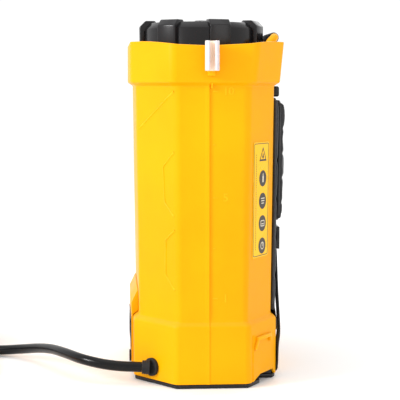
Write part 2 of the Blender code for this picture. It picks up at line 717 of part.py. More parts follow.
def control_panel():
    """A tray with a lip, set in the housing's window, that holds the controls below the surface."""
    deep = POCKET_FLOOR + PANEL_WALL
    lip_face = HOUSING_FACE - GAP - PANEL_WALL / 4
    tray = box("control_panel", (-PANEL_HALF, lip_face, PANEL_FOOT),
               (PANEL_HALF, deep, PANEL_TOP), BLACK)
    join(tray, box("lip", (-PANEL_HALF - PANEL_LIP, lip_face, PANEL_FOOT - PANEL_LIP),
                   (PANEL_HALF + PANEL_LIP, HOUSING_FACE - GAP, PANEL_TOP + PANEL_LIP), BLACK))
    cut(tray, box("pocket", (-PANEL_HALF + PANEL_WALL, HOUSING_FACE - PLUG_DEPTH, PANEL_FOOT + PANEL_WALL),
                  (PANEL_HALF - PANEL_WALL, POCKET_FLOOR, PANEL_TOP - PANEL_WALL), BLACK))
    half = ROCKER_LENGTH / 2 + RUNNING
    tall = ROCKER_RADIUS + RUNNING
    cut(tray, box("rocker_hole", (ROCKER_X - half, POCKET_FLOOR - PANEL_WALL, PANEL_MIDDLE - tall),
                  (ROCKER_X + half, deep + PANEL_WALL, PANEL_MIDDLE + tall), BLACK))
    cut(tray, rod("knob_hole", (KNOB_X, POCKET_FLOOR - PANEL_WALL, PANEL_MIDDLE),
                  (KNOB_X, deep + PANEL_WALL, PANEL_MIDDLE), KNOB_STEM + GAP, BLACK))
    return tray


def controls():
    """The rocker switch, the pressure knob, the charge lens, and the charge socket with its cap."""
    pivot = (ROCKER_X, POCKET_FLOOR, PANEL_MIDDLE)
    arc = radians(130)
    angles = [arc - 2 * arc * step / 12 for step in range(13)]
    outline = [(-0.44 * ROCKER_RADIUS, 0)]
    outline += [(ROCKER_RADIUS * cos(a), ROCKER_RADIUS * sin(a)) for a in angles]
    turn = Matrix.Rotation(ROCKER_TILT, 2)
    tilted = [turn @ Vector(point) for point in outline]
    rocker = place(mesh_object(loft([[Vector((x, y, z)) for y, z in tilted]
                                     for x in (-ROCKER_LENGTH / 2, ROCKER_LENGTH / 2)])),
                   "rocker_switch", BLACK, pivot)
    smooth(rocker)

    start = HOUSING_FACE + 0.0012
    knob = rod("pressure_knob", (KNOB_X, start, PANEL_MIDDLE), (KNOB_X, start + KNOB_LENGTH, PANEL_MIDDLE),
               KNOB_RADIUS, BLACK, sides=40)
    join(knob, rod("knob_stem", (KNOB_X, start + KNOB_LENGTH / 2, PANEL_MIDDLE),
                   (KNOB_X, POCKET_FLOOR + 2 * PANEL_WALL, PANEL_MIDDLE), KNOB_STEM, BLACK))
    cut(knob, box("pointer", (KNOB_X - POINTER, start - WALL, PANEL_MIDDLE),
                  (KNOB_X + POINTER, start + POINTER, PANEL_MIDDLE + KNOB_RADIUS - 2 * POINTER), BLACK))

    width, height = LENS_SIZE
    box("charge_lens", (-width / 2, POCKET_FLOOR - GAP - 0.0015, PANEL_MIDDLE - height / 2),
        (width / 2, POCKET_FLOOR - GAP, PANEL_MIDDLE + height / 2), LENS)

    turned("charge_socket", ring(SOCKET_RADIUS, 0.0022, -0.015, -0.0006), BLACK,
           (SOCKET_X, HOUSING_FACE, SOCKET_Z), (0, -1, 0), steps=32)
    hinge = (SOCKET_X, HOUSING_FACE - GAP - CAP_THICK / 2, SOCKET_Z + CAP_RADIUS + 0.0012)
    cap = rod("charge_cap", (SOCKET_X, HOUSING_FACE - GAP, SOCKET_Z),
              (SOCKET_X, HOUSING_FACE - GAP - CAP_THICK, SOCKET_Z), CAP_RADIUS, RUBBER, sides=32)
    join(cap, box("cap_ear", (SOCKET_X - 0.0035, hinge[1] - CAP_THICK / 2, SOCKET_Z),
                  (SOCKET_X + 0.0035, hinge[1] + CAP_THICK / 2, hinge[2]), RUBBER))


def screws():
    """The four countersunk screws that hold the housing."""
    head = [(0, 0), (SCREW_RADIUS, 0), (SCREW_RADIUS, -0.0012), (SCREW_RADIUS / 2, -0.003),
            (SCREW_RADIUS / 2, -SCREW_LENGTH), (0, -SCREW_LENGTH)]
    for number, (x, z) in enumerate(housing_screw_places(), 1):
        turned(f"housing_screw_{number}", head, STEEL, (x, HOUSING_FACE + 0.0015, z), (0, -1, 0), steps=16)


# ---------------------------------------------------------------- base, battery and pump

def base_plate():
    """The plate under the skirt, with its rear corners cut away for the lower strap anchors."""
    plate = place(mesh_object(loft([level(inset(SKIRT, BASE_INSET + 0.001), 0),
                                    level(inset(SKIRT, BASE_INSET), 0.001),
                                    level(inset(SKIRT, BASE_INSET), BASE_THICK)])), "base_plate", BLACK)
    for side, _ in SIDES:
        cut(plate, box("corner", (side * NOTCH_X, NOTCH_Y, -WALL),
                       (side * (HALF_WIDTH + 5 * WALL), SKIRT_BACK + WALL, BASE_THICK + WALL), BLACK))
    return plate


def lower_anchors():
    for side, word in SIDES:
        low_x = WEB_FOOT_X - WEB_WIDTH / 2
        box(f"lower_anchor_{word}", (side * low_x, NOTCH_Y, BASE_THICK + GAP),
            (side * (NOTCH_X - GAP), SKIRT_BACK - 2 * WALL, NOTCH_TOP - 0.001), BLACK)


def battery():
    x, y = BATTERY_CENTRE
    length, depth, height = BATTERY_SIZE
    foot = BASE_THICK + GAP
    pack = box("battery_pack", (x - length / 2, y - depth / 2, foot),
               (x + length / 2, y + depth / 2, foot + height), BLACK)
    bevel(pack, 0.002)


def pump():
    """The motor, the pump head with a chamber that is open to the motor, and the shaft with its eccentric."""
    head_x = MOTOR_START + MOTOR_LENGTH + GAP
    centre = (PUMP_Y, PUMP_Z)
    half = HEAD_SIDE / 2
    motor = rod("pump_motor", (MOTOR_START, *centre), (MOTOR_START + MOTOR_LENGTH, *centre), MOTOR_RADIUS, STEEL,
                sides=40)
    cut(motor, rod("bearing", (MOTOR_START + MOTOR_LENGTH - 0.010, *centre),
                   (MOTOR_START + MOTOR_LENGTH + WALL, *centre), SHAFT_RADIUS + RUNNING, STEEL))
    bevel(motor, 0.0015)
    head = box("pump_head", (head_x, PUMP_Y - half, PUMP_Z - half),
               (head_x + HEAD_LENGTH, PUMP_Y + half, PUMP_Z + half), BLACK)
    cut(head, rod("chamber", (head_x - WALL, *centre), (head_x + HEAD_LENGTH * 0.6, *centre), HEAD_BORE, BLACK,
                  sides=32))
    shaft = rod("motor_shaft", (head_x - 0.008, *centre), (head_x + 0.014, *centre), SHAFT_RADIUS, STEEL)
    cam_y = PUMP_Y + CAM_OFFSET
    join(shaft, rod("cam", (head_x + 0.005, cam_y, PUMP_Z), (head_x + 0.012, cam_y, PUMP_Z), CAM_RADIUS, STEEL,
                    sides=32))
    bracket_foot = BASE_THICK + GAP
    box("motor_cradle", (MOTOR_START + 0.008, PUMP_Y - 0.020, bracket_foot),
        (MOTOR_START + 0.044, PUMP_Y + 0.020, PUMP_Z - MOTOR_RADIUS - GAP), RUBBER)


def plumbing():
    """The tank outlet with its elbow, the suction tube to the pump, and the delivery tube to the hose."""
    flange = 0.013
    profile = [(0, 0.004), (flange, 0.004), (flange, GAP), (OUTLET_RADIUS, GAP), (OUTLET_RADIUS, -0.014),
               (0.004, -0.014), (0.004, -0.020), (0, -0.020)]
    turned("outlet_fitting", profile, BLACK, (OUTLET_X, OUTLET_Y, TANK_FLOOR), steps=32)
    head_face = PUMP_Y - HEAD_SIDE / 2 - GAP
    head_x = MOTOR_START + MOTOR_LENGTH + HEAD_LENGTH / 2
    outlet_z = TANK_FLOOR - 0.020 - GAP
    suction = smooth_line([(OUTLET_X, OUTLET_Y, outlet_z), (OUTLET_X, OUTLET_Y, outlet_z - 0.004),
                           (OUTLET_X + 0.012, OUTLET_Y - 0.004, outlet_z - 0.018),
                           (head_x - 0.010, OUTLET_Y + 0.002, PUMP_Z + 0.007),
                           (head_x - 0.008, head_face - 0.006, PUMP_Z + 0.006),
                           (head_x - 0.008, head_face, PUMP_Z + 0.006)], 0.005)
    tube("suction_tube", suction, TUBE_RADIUS, CLEAR_TUBE, resolution=2)
    behind = GROMMET_POINT - GROMMET_NORMAL * (GROMMET_BODY + 2 * GAP)
    delivery = smooth_line([(head_x + 0.010, head_face, HOSE_Z), (head_x + 0.010, head_face - 0.008, HOSE_Z),
                            behind - GROMMET_NORMAL * 0.016 + Vector((0, 0.004, 0)),
                            behind - GROMMET_NORMAL * 0.005, behind], 0.005)
    tube("delivery_tube", delivery, TUBE_RADIUS, CLEAR_TUBE, resolution=2)


def circuit_board():
    face = POCKET_FLOOR + 3.4 * PANEL_WALL
    box("circuit_board", (-0.038, face, PANEL_FOOT + 0.001), (0.010, face + 0.0016, PANEL_TOP - 0.001), BOARD)


# ---------------------------------------------------------------- hose and trigger handle

HOSE_HEADING = Vector((-0.08, -0.99, 0.04)).normalized()


def hose_start():
    """Where the hose leaves the grommet's boot."""
    return GROMMET_POINT + GROMMET_NORMAL * 0.006 + HOSE_HEADING * 0.008


def grommet():
    """A rubber bush through the skirt, with a flange outside and a boot that turns towards the hose."""
    inside = GROMMET_POINT - GROMMET_NORMAL * GROMMET_BODY
    outside = GROMMET_POINT + GROMMET_NORMAL * GROMMET_FLANGE
    body = rod("hose_grommet", inside, outside, GROMMET_BODY, RUBBER, sides=32)
    join(body, rod("flange", GROMMET_POINT + GROMMET_NORMAL * GAP, outside, GROMMET_RADIUS, RUBBER, sides=40))
    boot_start = hose_start() - HOSE_HEADING * 0.009
    boot_end = hose_start() - HOSE_HEADING * 2 * GAP
    join(body, rod("boot", boot_start, boot_end, HOSE_RADIUS + 0.0022, RUBBER, sides=32,
                   end_radius=HOSE_RADIUS + 0.0013))
    return smooth(body)


def hose():
    """The hose from the grommet to its coil, the coil as one ring, and the end at the trigger handle."""
    start = hose_start()
    coil_x, coil_y = COIL_CENTRE
    outer = COIL_RADIUS + HOSE_RADIUS
    reach = (outer ** 2 - (COIL_RADIUS - HOSE_RADIUS) ** 2) ** 0.5 + 2 * GAP
    lead = [start, start + HOSE_HEADING * 0.012, start + HOSE_HEADING * 0.024,
            (0.1190, -0.1205, 0.0232), (0.1050, -0.1440, 0.0262), (0.0750, -0.1640, 0.0272),
            (0.0400, -0.1810, 0.0250), (0.0060, -0.1990, 0.0198), (-0.0240, -0.2210, 0.0130),
            (-0.0450, -0.2480, 0.0078), (-0.0560, -0.2800, FLOOR_HOSE_Z),
            (coil_x + COIL_RADIUS, coil_y + reach, FLOOR_HOSE_Z)]
    tube("hose", smooth_line(lead, 0.024), HOSE_RADIUS, HOSE, resolution=2)
    high = FLOOR_HOSE_Z + COIL_TURNS * COIL_PITCH
    turned("hose_coil", ring(outer, COIL_RADIUS - HOSE_RADIUS, GAP, high + HOSE_RADIUS), HOSE,
           (coil_x, coil_y, 0), steps=40)
    end_y = coil_y + COIL_RADIUS
    tail = [(coil_x + reach, end_y, high), (coil_x + reach + 0.030, end_y, high - 0.002),
            (-0.030, end_y, 0.0200), (TRIGGER_START - 0.026, end_y, TRIGGER_Z + 0.0012),
            (TRIGGER_START - 0.012, end_y, TRIGGER_Z), (TRIGGER_START - 2 * GAP, end_y, TRIGGER_Z)]
    tube("hose_tail", smooth_line(tail, 0.012), HOSE_RADIUS, HOSE, resolution=2)


def trigger():
    """The shut-off handle on its side: a grip between two nuts, with a lever pinned to its lug."""
    y, z = TRIGGER_Y, TRIGGER_Z
    body_x = TRIGGER_START + NUT_LENGTH + GAP
    end_x = body_x + TRIGGER_LENGTH
    nut_end = TRIGGER_START + NUT_LENGTH
    nut = rod("hose_nut", (TRIGGER_START, y, z), (nut_end, y, z), NUT_RADIUS, BLACK, sides=12)
    bevel(nut, 0.0008, segments=1)
    body = rod("trigger_body", (body_x, y, z), (end_x, y, z), TRIGGER_RADIUS, YELLOW, sides=32)
    bevel(body, 0.002)
    pivot_x = end_x - 0.012
    pivot_y = y - PIVOT_SIDE
    tongue = (LEVER_WIDTH / 2 - LEVER_CHEEK - GAP)
    join(body, box("lug", (pivot_x - LUG_HALF, pivot_y - 0.005, z - tongue),
                   (pivot_x + LUG_HALF, y - TRIGGER_RADIUS / 2, z + tongue), YELLOW))
    cut(body, rod("pin_hole", (pivot_x, pivot_y, 0), (pivot_x, pivot_y, 2 * z), PIN_RADIUS + GAP, YELLOW,
                  sides=20))
    nozzle = turned("outlet_nut", ring(NUT_RADIUS, 0.0050, GAP, NUT_LENGTH), BRASS, (end_x, y, z), (1, 0, 0),
                    steps=12)
    bevel(nozzle, 0.0008, segments=1)

    bar_y = y - LEVER_SIDE
    low, high = z - LEVER_WIDTH / 2, z + LEVER_WIDTH / 2
    pivot = (pivot_x, pivot_y, z)
    step = LEVER_CHEEK / 4
    lever = box("trigger_lever", (pivot_x - LEVER_LENGTH, bar_y - LEVER_THICK, low + step),
                (pivot_x + LUG_HALF - step, bar_y, high - step), BLACK, origin=pivot)
    for foot, head in ((low, low + LEVER_CHEEK), (high - LEVER_CHEEK, high)):
        join(lever, box("cheek", (pivot_x - LUG_HALF, bar_y - LEVER_THICK / 2, foot),
                        (pivot_x + LUG_HALF, pivot_y + 0.0045, head), BLACK))
    cut(lever, rod("pin_bore", (pivot_x, pivot_y, 0), (pivot_x, pivot_y, 2 * z), PIN_RADIUS + GAP, BLACK,
                   sides=20))
    rod("lever_pin", (pivot_x, pivot_y, low - GAP), (pivot_x, pivot_y, high + GAP), PIN_RADIUS, STEEL, sides=20)


# ---------------------------------------------------------------- harness

def pad_surface(height):
    """The Y of the back pad's outer face at a height."""
    return back_wall(height) + GAP + PAD_THICK


def back_pad():
    """A cushion on the tank's back wall, with a thin tail that hangs over the top of the skirt."""
    tail = SKIRT_BACK + GAP
    outline = [(back_wall(PAD_TOP) + GAP, PAD_TOP), (back_wall(BODY_FOOT_Z) + GAP, BODY_FOOT_Z + 0.002),
               (tail, SKIRT_TOP + 0.001), (tail, PAD_FOOT), (tail + PAD_TAIL, PAD_FOOT),
               (pad_surface(BODY_FOOT_Z + 0.020), BODY_FOOT_Z + 0.020),
               (pad_surface(PAD_TOP), PAD_TOP - 0.006), (pad_surface(PAD_TOP) - PAD_THICK / 2, PAD_TOP)]
    extruded("back_pad", outline, -PAD_HALF, PAD_HALF, FOAM)


def upper_anchor(side, word):
    """A plastic loop on the back wall that the shoulder strap is sewn through."""
    x = side * STRAP_X
    wall = back_wall(BODY_TOP) + GAP
    anchor = box(f"upper_anchor_{word}", (x - ANCHOR_WIDTH / 2, wall, ANCHOR_FOOT),
                 (x + ANCHOR_WIDTH / 2, wall + ANCHOR_OUT, BODY_TOP - GAP), BLACK)
    bevel(anchor, 0.0015, segments=1)


def shoulder_strap(side, word):
    """The padded upper part of the strap, lying on the back pad."""
    x = side * STRAP_X
    inner_foot = pad_surface(STRAP_FOOT) + GAP
    inner_head = pad_surface(STRAP_TOP) + GAP
    outline = [(inner_foot, STRAP_FOOT), (inner_foot + STRAP_THICK, STRAP_FOOT + 0.002),
               (inner_head + STRAP_THICK, STRAP_TOP - 0.003), (inner_head, STRAP_TOP)]
    low_x, high_x = x - STRAP_WIDTH / 2, x + STRAP_WIDTH / 2
    extruded(f"shoulder_strap_{word}", outline, low_x, high_x, FOAM)


def buckle(side, word):
    """A ladder buckle: a frame with a bar across its middle, for the strap above and the webbing below."""
    width, depth, height = BUCKLE_SIZE
    x = side * (STRAP_X + 0.004)
    top = STRAP_FOOT - 0.008
    inner = pad_surface(top) + 2 * GAP
    frame = box(f"buckle_{word}", (x - width / 2, inner, top - height), (x + width / 2, inner + depth, top), BLACK)
    for low in (top - 0.0105, top - height + 0.004):
        cut(frame, box("slot", (x - WEB_WIDTH / 2 - GAP, inner - WALL, low),
                       (x + WEB_WIDTH / 2 + GAP, inner + depth + WALL, low + 0.0062), BLACK))


def webbing(side, word):
    """The adjusting strap, from under the buckle down to the lower anchor."""
    top = STRAP_FOOT - 0.008 - BUCKLE_SIZE[2] - 0.001
    out = WEB_THICK / 2 + 2 * GAP
    start_x = STRAP_X + 0.004
    points = [(start_x, pad_surface(height) + out, height) for height in (top, top - 0.006)]
    bend_z = BODY_FOOT_Z + 0.024
    points.append((start_x + 0.010, pad_surface(bend_z) + out + GAP, bend_z))
    points.append((WEB_FOOT_X - 0.006, SKIRT_BACK + PAD_TAIL + out + 2 * GAP, PAD_FOOT + 0.004))
    points.append((WEB_FOOT_X, SKIRT_BACK + out + 2 * GAP, PAD_FOOT - 0.014))
    points.append((WEB_FOOT_X, SKIRT_BACK + out + 2 * GAP, 0.013))
    points.append((WEB_FOOT_X, SKIRT_BACK + out - GAP, 0.0085))
    points.append((WEB_FOOT_X, SKIRT_BACK - 0.003, 0.0070))
    points.append((WEB_FOOT_X, SKIRT_BACK - 2 * WALL + 2 * GAP, 0.0070))
    strip(f"webbing_{word}", [(side * x, y, z) for x, y, z in points], (1, 0, 0), WEB_WIDTH, WEB_THICK, WEBBING)


# ---------------------------------------------------------------- assembly

tank()
lance_clip()
label()
carry_handle()
lid()
lid_fittings()
control_housing()
control_panel()
controls()
screws()
base_plate()
lower_anchors()
battery()
pump()
plumbing()
circuit_board()
grommet()
hose()
trigger()
back_pad()
for hand, which in SIDES:
    upper_anchor(hand, which)
    shoulder_strap(hand, which)
    buckle(hand, which)
    webbing(hand, which)
ROOT.location = (ROOT_X, ROOT_Y, 0)
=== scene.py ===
"""A battery knapsack sprayer: a yellow tank with its lid, controls, hose, trigger and harness."""
import json
from math import atan2, cos, pi, radians, sin, tan, tau

import bmesh
import bpy
from mathutils import Matrix, Vector, noise

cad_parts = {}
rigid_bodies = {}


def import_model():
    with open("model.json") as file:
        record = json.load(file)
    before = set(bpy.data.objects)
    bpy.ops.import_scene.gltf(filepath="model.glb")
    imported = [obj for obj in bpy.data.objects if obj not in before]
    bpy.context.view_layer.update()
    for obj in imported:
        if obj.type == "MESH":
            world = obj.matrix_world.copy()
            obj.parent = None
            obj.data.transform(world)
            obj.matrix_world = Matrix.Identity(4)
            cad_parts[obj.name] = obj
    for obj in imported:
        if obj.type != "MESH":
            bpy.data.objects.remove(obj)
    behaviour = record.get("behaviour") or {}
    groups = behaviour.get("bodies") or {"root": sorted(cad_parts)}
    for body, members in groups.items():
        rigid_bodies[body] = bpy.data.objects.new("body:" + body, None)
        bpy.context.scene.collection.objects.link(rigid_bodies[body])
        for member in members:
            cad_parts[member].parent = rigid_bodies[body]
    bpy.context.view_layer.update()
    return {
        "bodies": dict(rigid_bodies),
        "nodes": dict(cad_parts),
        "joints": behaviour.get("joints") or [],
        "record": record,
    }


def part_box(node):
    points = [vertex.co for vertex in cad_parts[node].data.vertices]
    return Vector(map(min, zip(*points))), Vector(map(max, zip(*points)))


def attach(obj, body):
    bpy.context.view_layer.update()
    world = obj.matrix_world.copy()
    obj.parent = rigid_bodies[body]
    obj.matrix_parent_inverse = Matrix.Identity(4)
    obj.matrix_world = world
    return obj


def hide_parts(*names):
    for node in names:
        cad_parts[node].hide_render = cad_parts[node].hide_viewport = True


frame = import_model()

bpy.ops.object.select_all(action="DESELECT")


# The camera stands level with the lid and looks a little down on the wearer's right side of the sprayer.
# The neck of the tank is its upright axis, and every piece below is laid out from that axis.
def middle_of(node):
    low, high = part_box(node)
    return (low + high) / 2


NECK = middle_of("strainer") * Vector((1, 1, 0))
VIEW_DISTANCE = 1.6
VIEW_AZIMUTH = radians(86)
VIEW_HEIGHT = 0.340
VIEW_TILT = radians(5.01)
VIEW_PAN = radians(0.055)
FOCAL_LENGTH = 118.0

camera_data = bpy.data.cameras.new("camera")
camera_data.lens = FOCAL_LENGTH
camera_data.sensor_width = 36.0
camera = bpy.data.objects.new("camera", camera_data)
bpy.context.scene.collection.objects.link(camera)
camera.location = NECK + Vector((0, 0, VIEW_HEIGHT))
camera.location += VIEW_DISTANCE * Vector((sin(VIEW_AZIMUTH), -cos(VIEW_AZIMUTH), 0))
camera.rotation_euler = (pi / 2 - VIEW_TILT, 0, VIEW_AZIMUTH + VIEW_PAN)
bpy.context.scene.camera = camera


# The studio: a white sweep under the sprayer, a bright room, and large soft lamps.
# The key stands in front of the sprayer, and the fill behind it, both on the camera's side.
def soft_lamp(name, place, size, power, aim=(0, 0, 0.2)):
    lamp_data = bpy.data.lights.new(name, "AREA")
    lamp_data.shape = "SQUARE"
    lamp_data.size = size
    lamp_data.energy = power
    lamp = bpy.data.objects.new(name, lamp_data)
    bpy.context.scene.collection.objects.link(lamp)
    lamp.location = place
    lamp.rotation_euler = (Vector(aim) - Vector(place)).to_track_quat("-Z", "Y").to_euler()


soft_lamp("key_lamp", (0.9, -1.9, 1.0), 0.6, 32)
soft_lamp("fill_lamp", (1.9, 1.2, 0.9), 1.2, 7)
soft_lamp("top_lamp", (0.2, -0.1, 2.0), 1.6, 5)
soft_lamp("back_lamp", (-1.8, 0.6, 1.2), 1.2, 4)
room = bpy.data.worlds.new("white_room")
room.use_nodes = True
room.node_tree.nodes["Background"].inputs["Color"].default_value = (1, 1, 1, 1)
room.node_tree.nodes["Background"].inputs["Strength"].default_value = 1.06
bpy.context.scene.world = room
bpy.context.scene.view_settings.view_transform = "Standard"


def new_material(name, roughness, metallic=0.0, **sockets):
    """A material, its node tree and its shader, with the values that are the same all over."""
    made = bpy.data.materials.new(name)
    made.use_nodes = True
    shader = made.node_tree.nodes["Principled BSDF"]
    shader.inputs["Roughness"].default_value = roughness
    shader.inputs["Metallic"].default_value = metallic
    for socket, value in sockets.items():
        shader.inputs[socket.replace("_", " ")].default_value = value
    return made, made.node_tree, shader


def add_node(tree, kind, values=(), **properties):
    """A node with its input values, given by socket name or number, and its properties."""
    node = tree.nodes.new(kind)
    for name, value in properties.items():
        setattr(node, name, value)
    for socket, value in dict(values).items():
        node.inputs[socket].default_value = value
    return node


def new_group(name, inputs, outputs):
    """An empty node group with float inputs, and outputs of the given kinds."""
    group = bpy.data.node_groups.new(name, "ShaderNodeTree")
    for socket, value in inputs.items():
        made = group.interface.new_socket(socket, in_out="INPUT", socket_type="NodeSocketFloat")
        made.default_value = value
    for socket in outputs:
        group.interface.new_socket(socket, in_out="OUTPUT", socket_type="NodeSocketFloat")
    return group, group.nodes.new("NodeGroupInput"), group.nodes.new("NodeGroupOutput")


def mottle_group():
    """Fine grain, and a slow cloud that shifts colour and gloss over a moulding."""
    sizes = {"Grain Size": 900.0, "Cloud Size": 14.0}
    group, given, out = new_group("mottle", sizes, ("Grain", "Cloud"))
    place = group.nodes.new("ShaderNodeTexCoord")
    for number, (size, name) in enumerate((("Grain Size", "Grain"), ("Cloud Size", "Cloud"))):
        spots = add_node(group, "ShaderNodeTexNoise", {"Detail": 3.0 + 2 * number, "Roughness": 0.55})
        group.links.new(place.outputs["Object"], spots.inputs["Vector"])
        group.links.new(given.outputs[size], spots.inputs["Scale"])
        group.links.new(spots.outputs["Fac"], out.inputs[name])
    return group


def wear_group():
    """A mask of convex edges, broken up by noise, where a moulding is rubbed bright."""
    group, given, out = new_group("edge_wear", {"From": 0.53, "To": 0.62}, ("Wear",))
    shape = group.nodes.new("ShaderNodeNewGeometry")
    place = group.nodes.new("ShaderNodeTexCoord")
    reach = add_node(group, "ShaderNodeMapRange")
    spots = add_node(group, "ShaderNodeTexNoise", {"Scale": 120.0, "Detail": 6.0})
    both = add_node(group, "ShaderNodeMath", operation="MULTIPLY")
    group.links.new(place.outputs["Object"], spots.inputs["Vector"])
    group.links.new(shape.outputs["Pointiness"], reach.inputs["Value"])
    group.links.new(given.outputs["From"], reach.inputs["From Min"])
    group.links.new(given.outputs["To"], reach.inputs["From Max"])
    group.links.new(reach.outputs["Result"], both.inputs[0])
    group.links.new(spots.outputs["Fac"], both.inputs[1])
    group.links.new(both.outputs["Value"], out.inputs["Wear"])
    return group


def dust_group():
    """A mask of dust on faces that look up, thicker in patches."""
    group, given, out = new_group("dust", {"Amount": 0.3, "Patch Size": 30.0}, ("Dust",))
    shape = group.nodes.new("ShaderNodeNewGeometry")
    split = group.nodes.new("ShaderNodeSeparateXYZ")
    place = group.nodes.new("ShaderNodeTexCoord")
    spots = add_node(group, "ShaderNodeTexNoise", {"Detail": 8.0, "Roughness": 0.7})
    upward = add_node(group, "ShaderNodeMapRange", {"From Min": 0.2, "From Max": 1.0})
    both = add_node(group, "ShaderNodeMath", operation="MULTIPLY")
    scaled = add_node(group, "ShaderNodeMath", operation="MULTIPLY")
    group.links.new(shape.outputs["Normal"], split.inputs["Vector"])
    group.links.new(split.outputs["Z"], upward.inputs["Value"])
    group.links.new(place.outputs["Object"], spots.inputs["Vector"])
    group.links.new(given.outputs["Patch Size"], spots.inputs["Scale"])
    group.links.new(upward.outputs["Result"], both.inputs[0])
    group.links.new(spots.outputs["Fac"], both.inputs[1])
    group.links.new(both.outputs["Value"], scaled.inputs[0])
    group.links.new(given.outputs["Amount"], scaled.inputs[1])
    group.links.new(scaled.outputs["Value"], out.inputs["Dust"])
    return group


MOTTLE = mottle_group()
EDGE_WEAR = wear_group()
DUST = dust_group()


def grouped(tree, group, **values):
    node = tree.nodes.new("ShaderNodeGroup")
    node.node_tree = group
    for socket, value in values.items():
        node.inputs[socket.replace("_", " ")].default_value = value
    return node


def blended(tree, mask, low, high):
    """A colour between two others by a mask, which are colours or outputs."""
    mix = add_node(tree, "ShaderNodeMix", data_type="RGBA")
    tree.links.new(mask, mix.inputs["Factor"])
    for socket, value in (("A", low), ("B", high)):
        slot = [s for s in mix.inputs if s.name == socket and s.type == "RGBA"][0]
        if isinstance(value, tuple):
            slot.default_value = (*value, 1.0)
        else:
            tree.links.new(value, slot)
    return [s for s in mix.outputs if s.type == "RGBA"][0]


def ranged(tree, value, low, high, start=0.35, end=0.65):
    """A noise output stretched over a range."""
    reach = add_node(tree, "ShaderNodeMapRange",
                     {"From Min": start, "From Max": end, "To Min": low, "To Max": high})
    tree.links.new(value, reach.inputs["Value"])
    return reach.outputs["Result"]


def bumped(tree, shader, height, strength, distance=0.0002):
    bump = add_node(tree, "ShaderNodeBump", {"Strength": strength, "Distance": distance})
    tree.links.new(height, bump.inputs["Height"])
    tree.links.new(bump.outputs["Normal"], shader.inputs["Normal"])


def moulded(name, deep, bright, roughness, grain=0.25, worn=None, dusty=None, grain_size=900.0,
            **sockets):
    """A moulded plastic or rubber: two close colours in clouds, uneven gloss, grain, wear and dust."""
    made, tree, shader = new_material(name, roughness, **sockets)
    mottle = grouped(tree, MOTTLE, Grain_Size=grain_size)
    colour = blended(tree, ranged(tree, mottle.outputs["Cloud"], 0, 1), deep, bright)
    if worn:
        wear = grouped(tree, EDGE_WEAR)
        colour = blended(tree, wear.outputs["Wear"], colour, worn)
    if dusty:
        dust = grouped(tree, DUST)
        colour = blended(tree, dust.outputs["Dust"], colour, dusty)
    tree.links.new(colour, shader.inputs["Base Color"])
    gloss = ranged(tree, mottle.outputs["Cloud"], roughness * 0.85, roughness * 1.2)
    tree.links.new(gloss, shader.inputs["Roughness"])
    bumped(tree, shader, mottle.outputs["Grain"], grain)
    return made


FLOOR_SIZE = 12.0
bpy.ops.mesh.primitive_plane_add(size=FLOOR_SIZE)
floor = bpy.context.active_object
floor.name = "studio_floor"
floor.data.materials.append(moulded("white_sweep", (0.955, 0.955, 0.955), (0.97, 0.97, 0.97), 0.6,
                                    grain=0.02, grain_size=200.0))
bpy.ops.object.select_all(action="DESELECT")


# The hose: black reinforced rubber, 12 mm thick, pushed on its fitting behind the grommet in the skirt.
# It leaves forwards along the floor, and what is not in use is wound in a coil in front of the tank, under a tie.
# Its far end is pushed on the trigger handle's tail and held by a nut.
HOSE_RADIUS = 0.006
HOSE_GAP = 0.0003
HOSE_HEADING = Vector((-0.08, -0.99, 0.04)).normalized()
GROMMET_HEIGHT = 0.020
COIL_RADIUS = 0.070
COIL_CENTRE = Vector((-0.130, -0.350))
COIL_TURNS = 1.75
COIL_PITCH = 0.0126
COIL_STEPS = 28
TRIGGER_AXIS_Z = 0.0128
TRIGGER_AXIS_Y = COIL_CENTRE.y + COIL_RADIUS
NUT_START = 0.015


def smooth_line(knots, spacing):
    """Points about a spacing apart on a smooth curve through the knots."""
    knots = [Vector(knot) for knot in knots]
    ends = [2 * knots[0] - knots[1]] + knots + [2 * knots[-1] - knots[-2]]
    points = []
    for a, b, c, d in zip(ends, ends[1:], ends[2:], ends[3:]):
        count = max(2, round((c - b).length / spacing))
        for step in range(count):
            t = step / count
            points.append(0.5 * (2 * b + (c - a) * t + (2 * a - 5 * b + 4 * c - d) * t * t
                                 + (3 * b - a - 3 * c + d) * t ** 3))
    return points + [knots[-1]]


def made_active(obj):
    if bpy.context.object and bpy.context.object.mode == "EDIT":
        bpy.ops.object.mode_set(mode="OBJECT")
    bpy.ops.object.select_all(action="DESELECT")
    obj.select_set(True)
    bpy.context.view_layer.objects.active = obj
    return obj


def faces_out():
    bpy.ops.mesh.normals_make_consistent(inside=False)


def edited(obj, *steps):
    """Runs each step of mesh editing on all of a piece."""
    made_active(obj)
    bpy.ops.object.mode_set(mode="EDIT")
    for step in steps:
        bpy.ops.mesh.select_all(action="SELECT")
        step()
    bpy.ops.object.mode_set(mode="OBJECT")
    return obj


def doubles_merged(distance):
    return lambda: bpy.ops.mesh.remove_doubles(threshold=distance)


def drawn_out(x=0.0, y=0.0, z=0.0):
    return lambda: bpy.ops.mesh.extrude_region_move(TRANSFORM_OT_translate={"value": (x, y, z)})


def linked(name, data):
    """A new object in the scene."""
    obj = bpy.data.objects.new(name, data)
    bpy.context.scene.collection.objects.link(obj)
    return obj


def from_form(name, form):
    """A new piece from edited mesh data."""
    mesh = bpy.data.meshes.new(name)
    form.to_mesh(mesh)
    form.free()
    return made_active(linked(name, mesh))


def walled(obj, thickness, offset):
    made_active(obj)
    wall = obj.modifiers.new("wall", "SOLIDIFY")
    wall.thickness = thickness
    wall.offset = offset
    bpy.ops.object.modifier_apply(modifier="wall")
    return obj


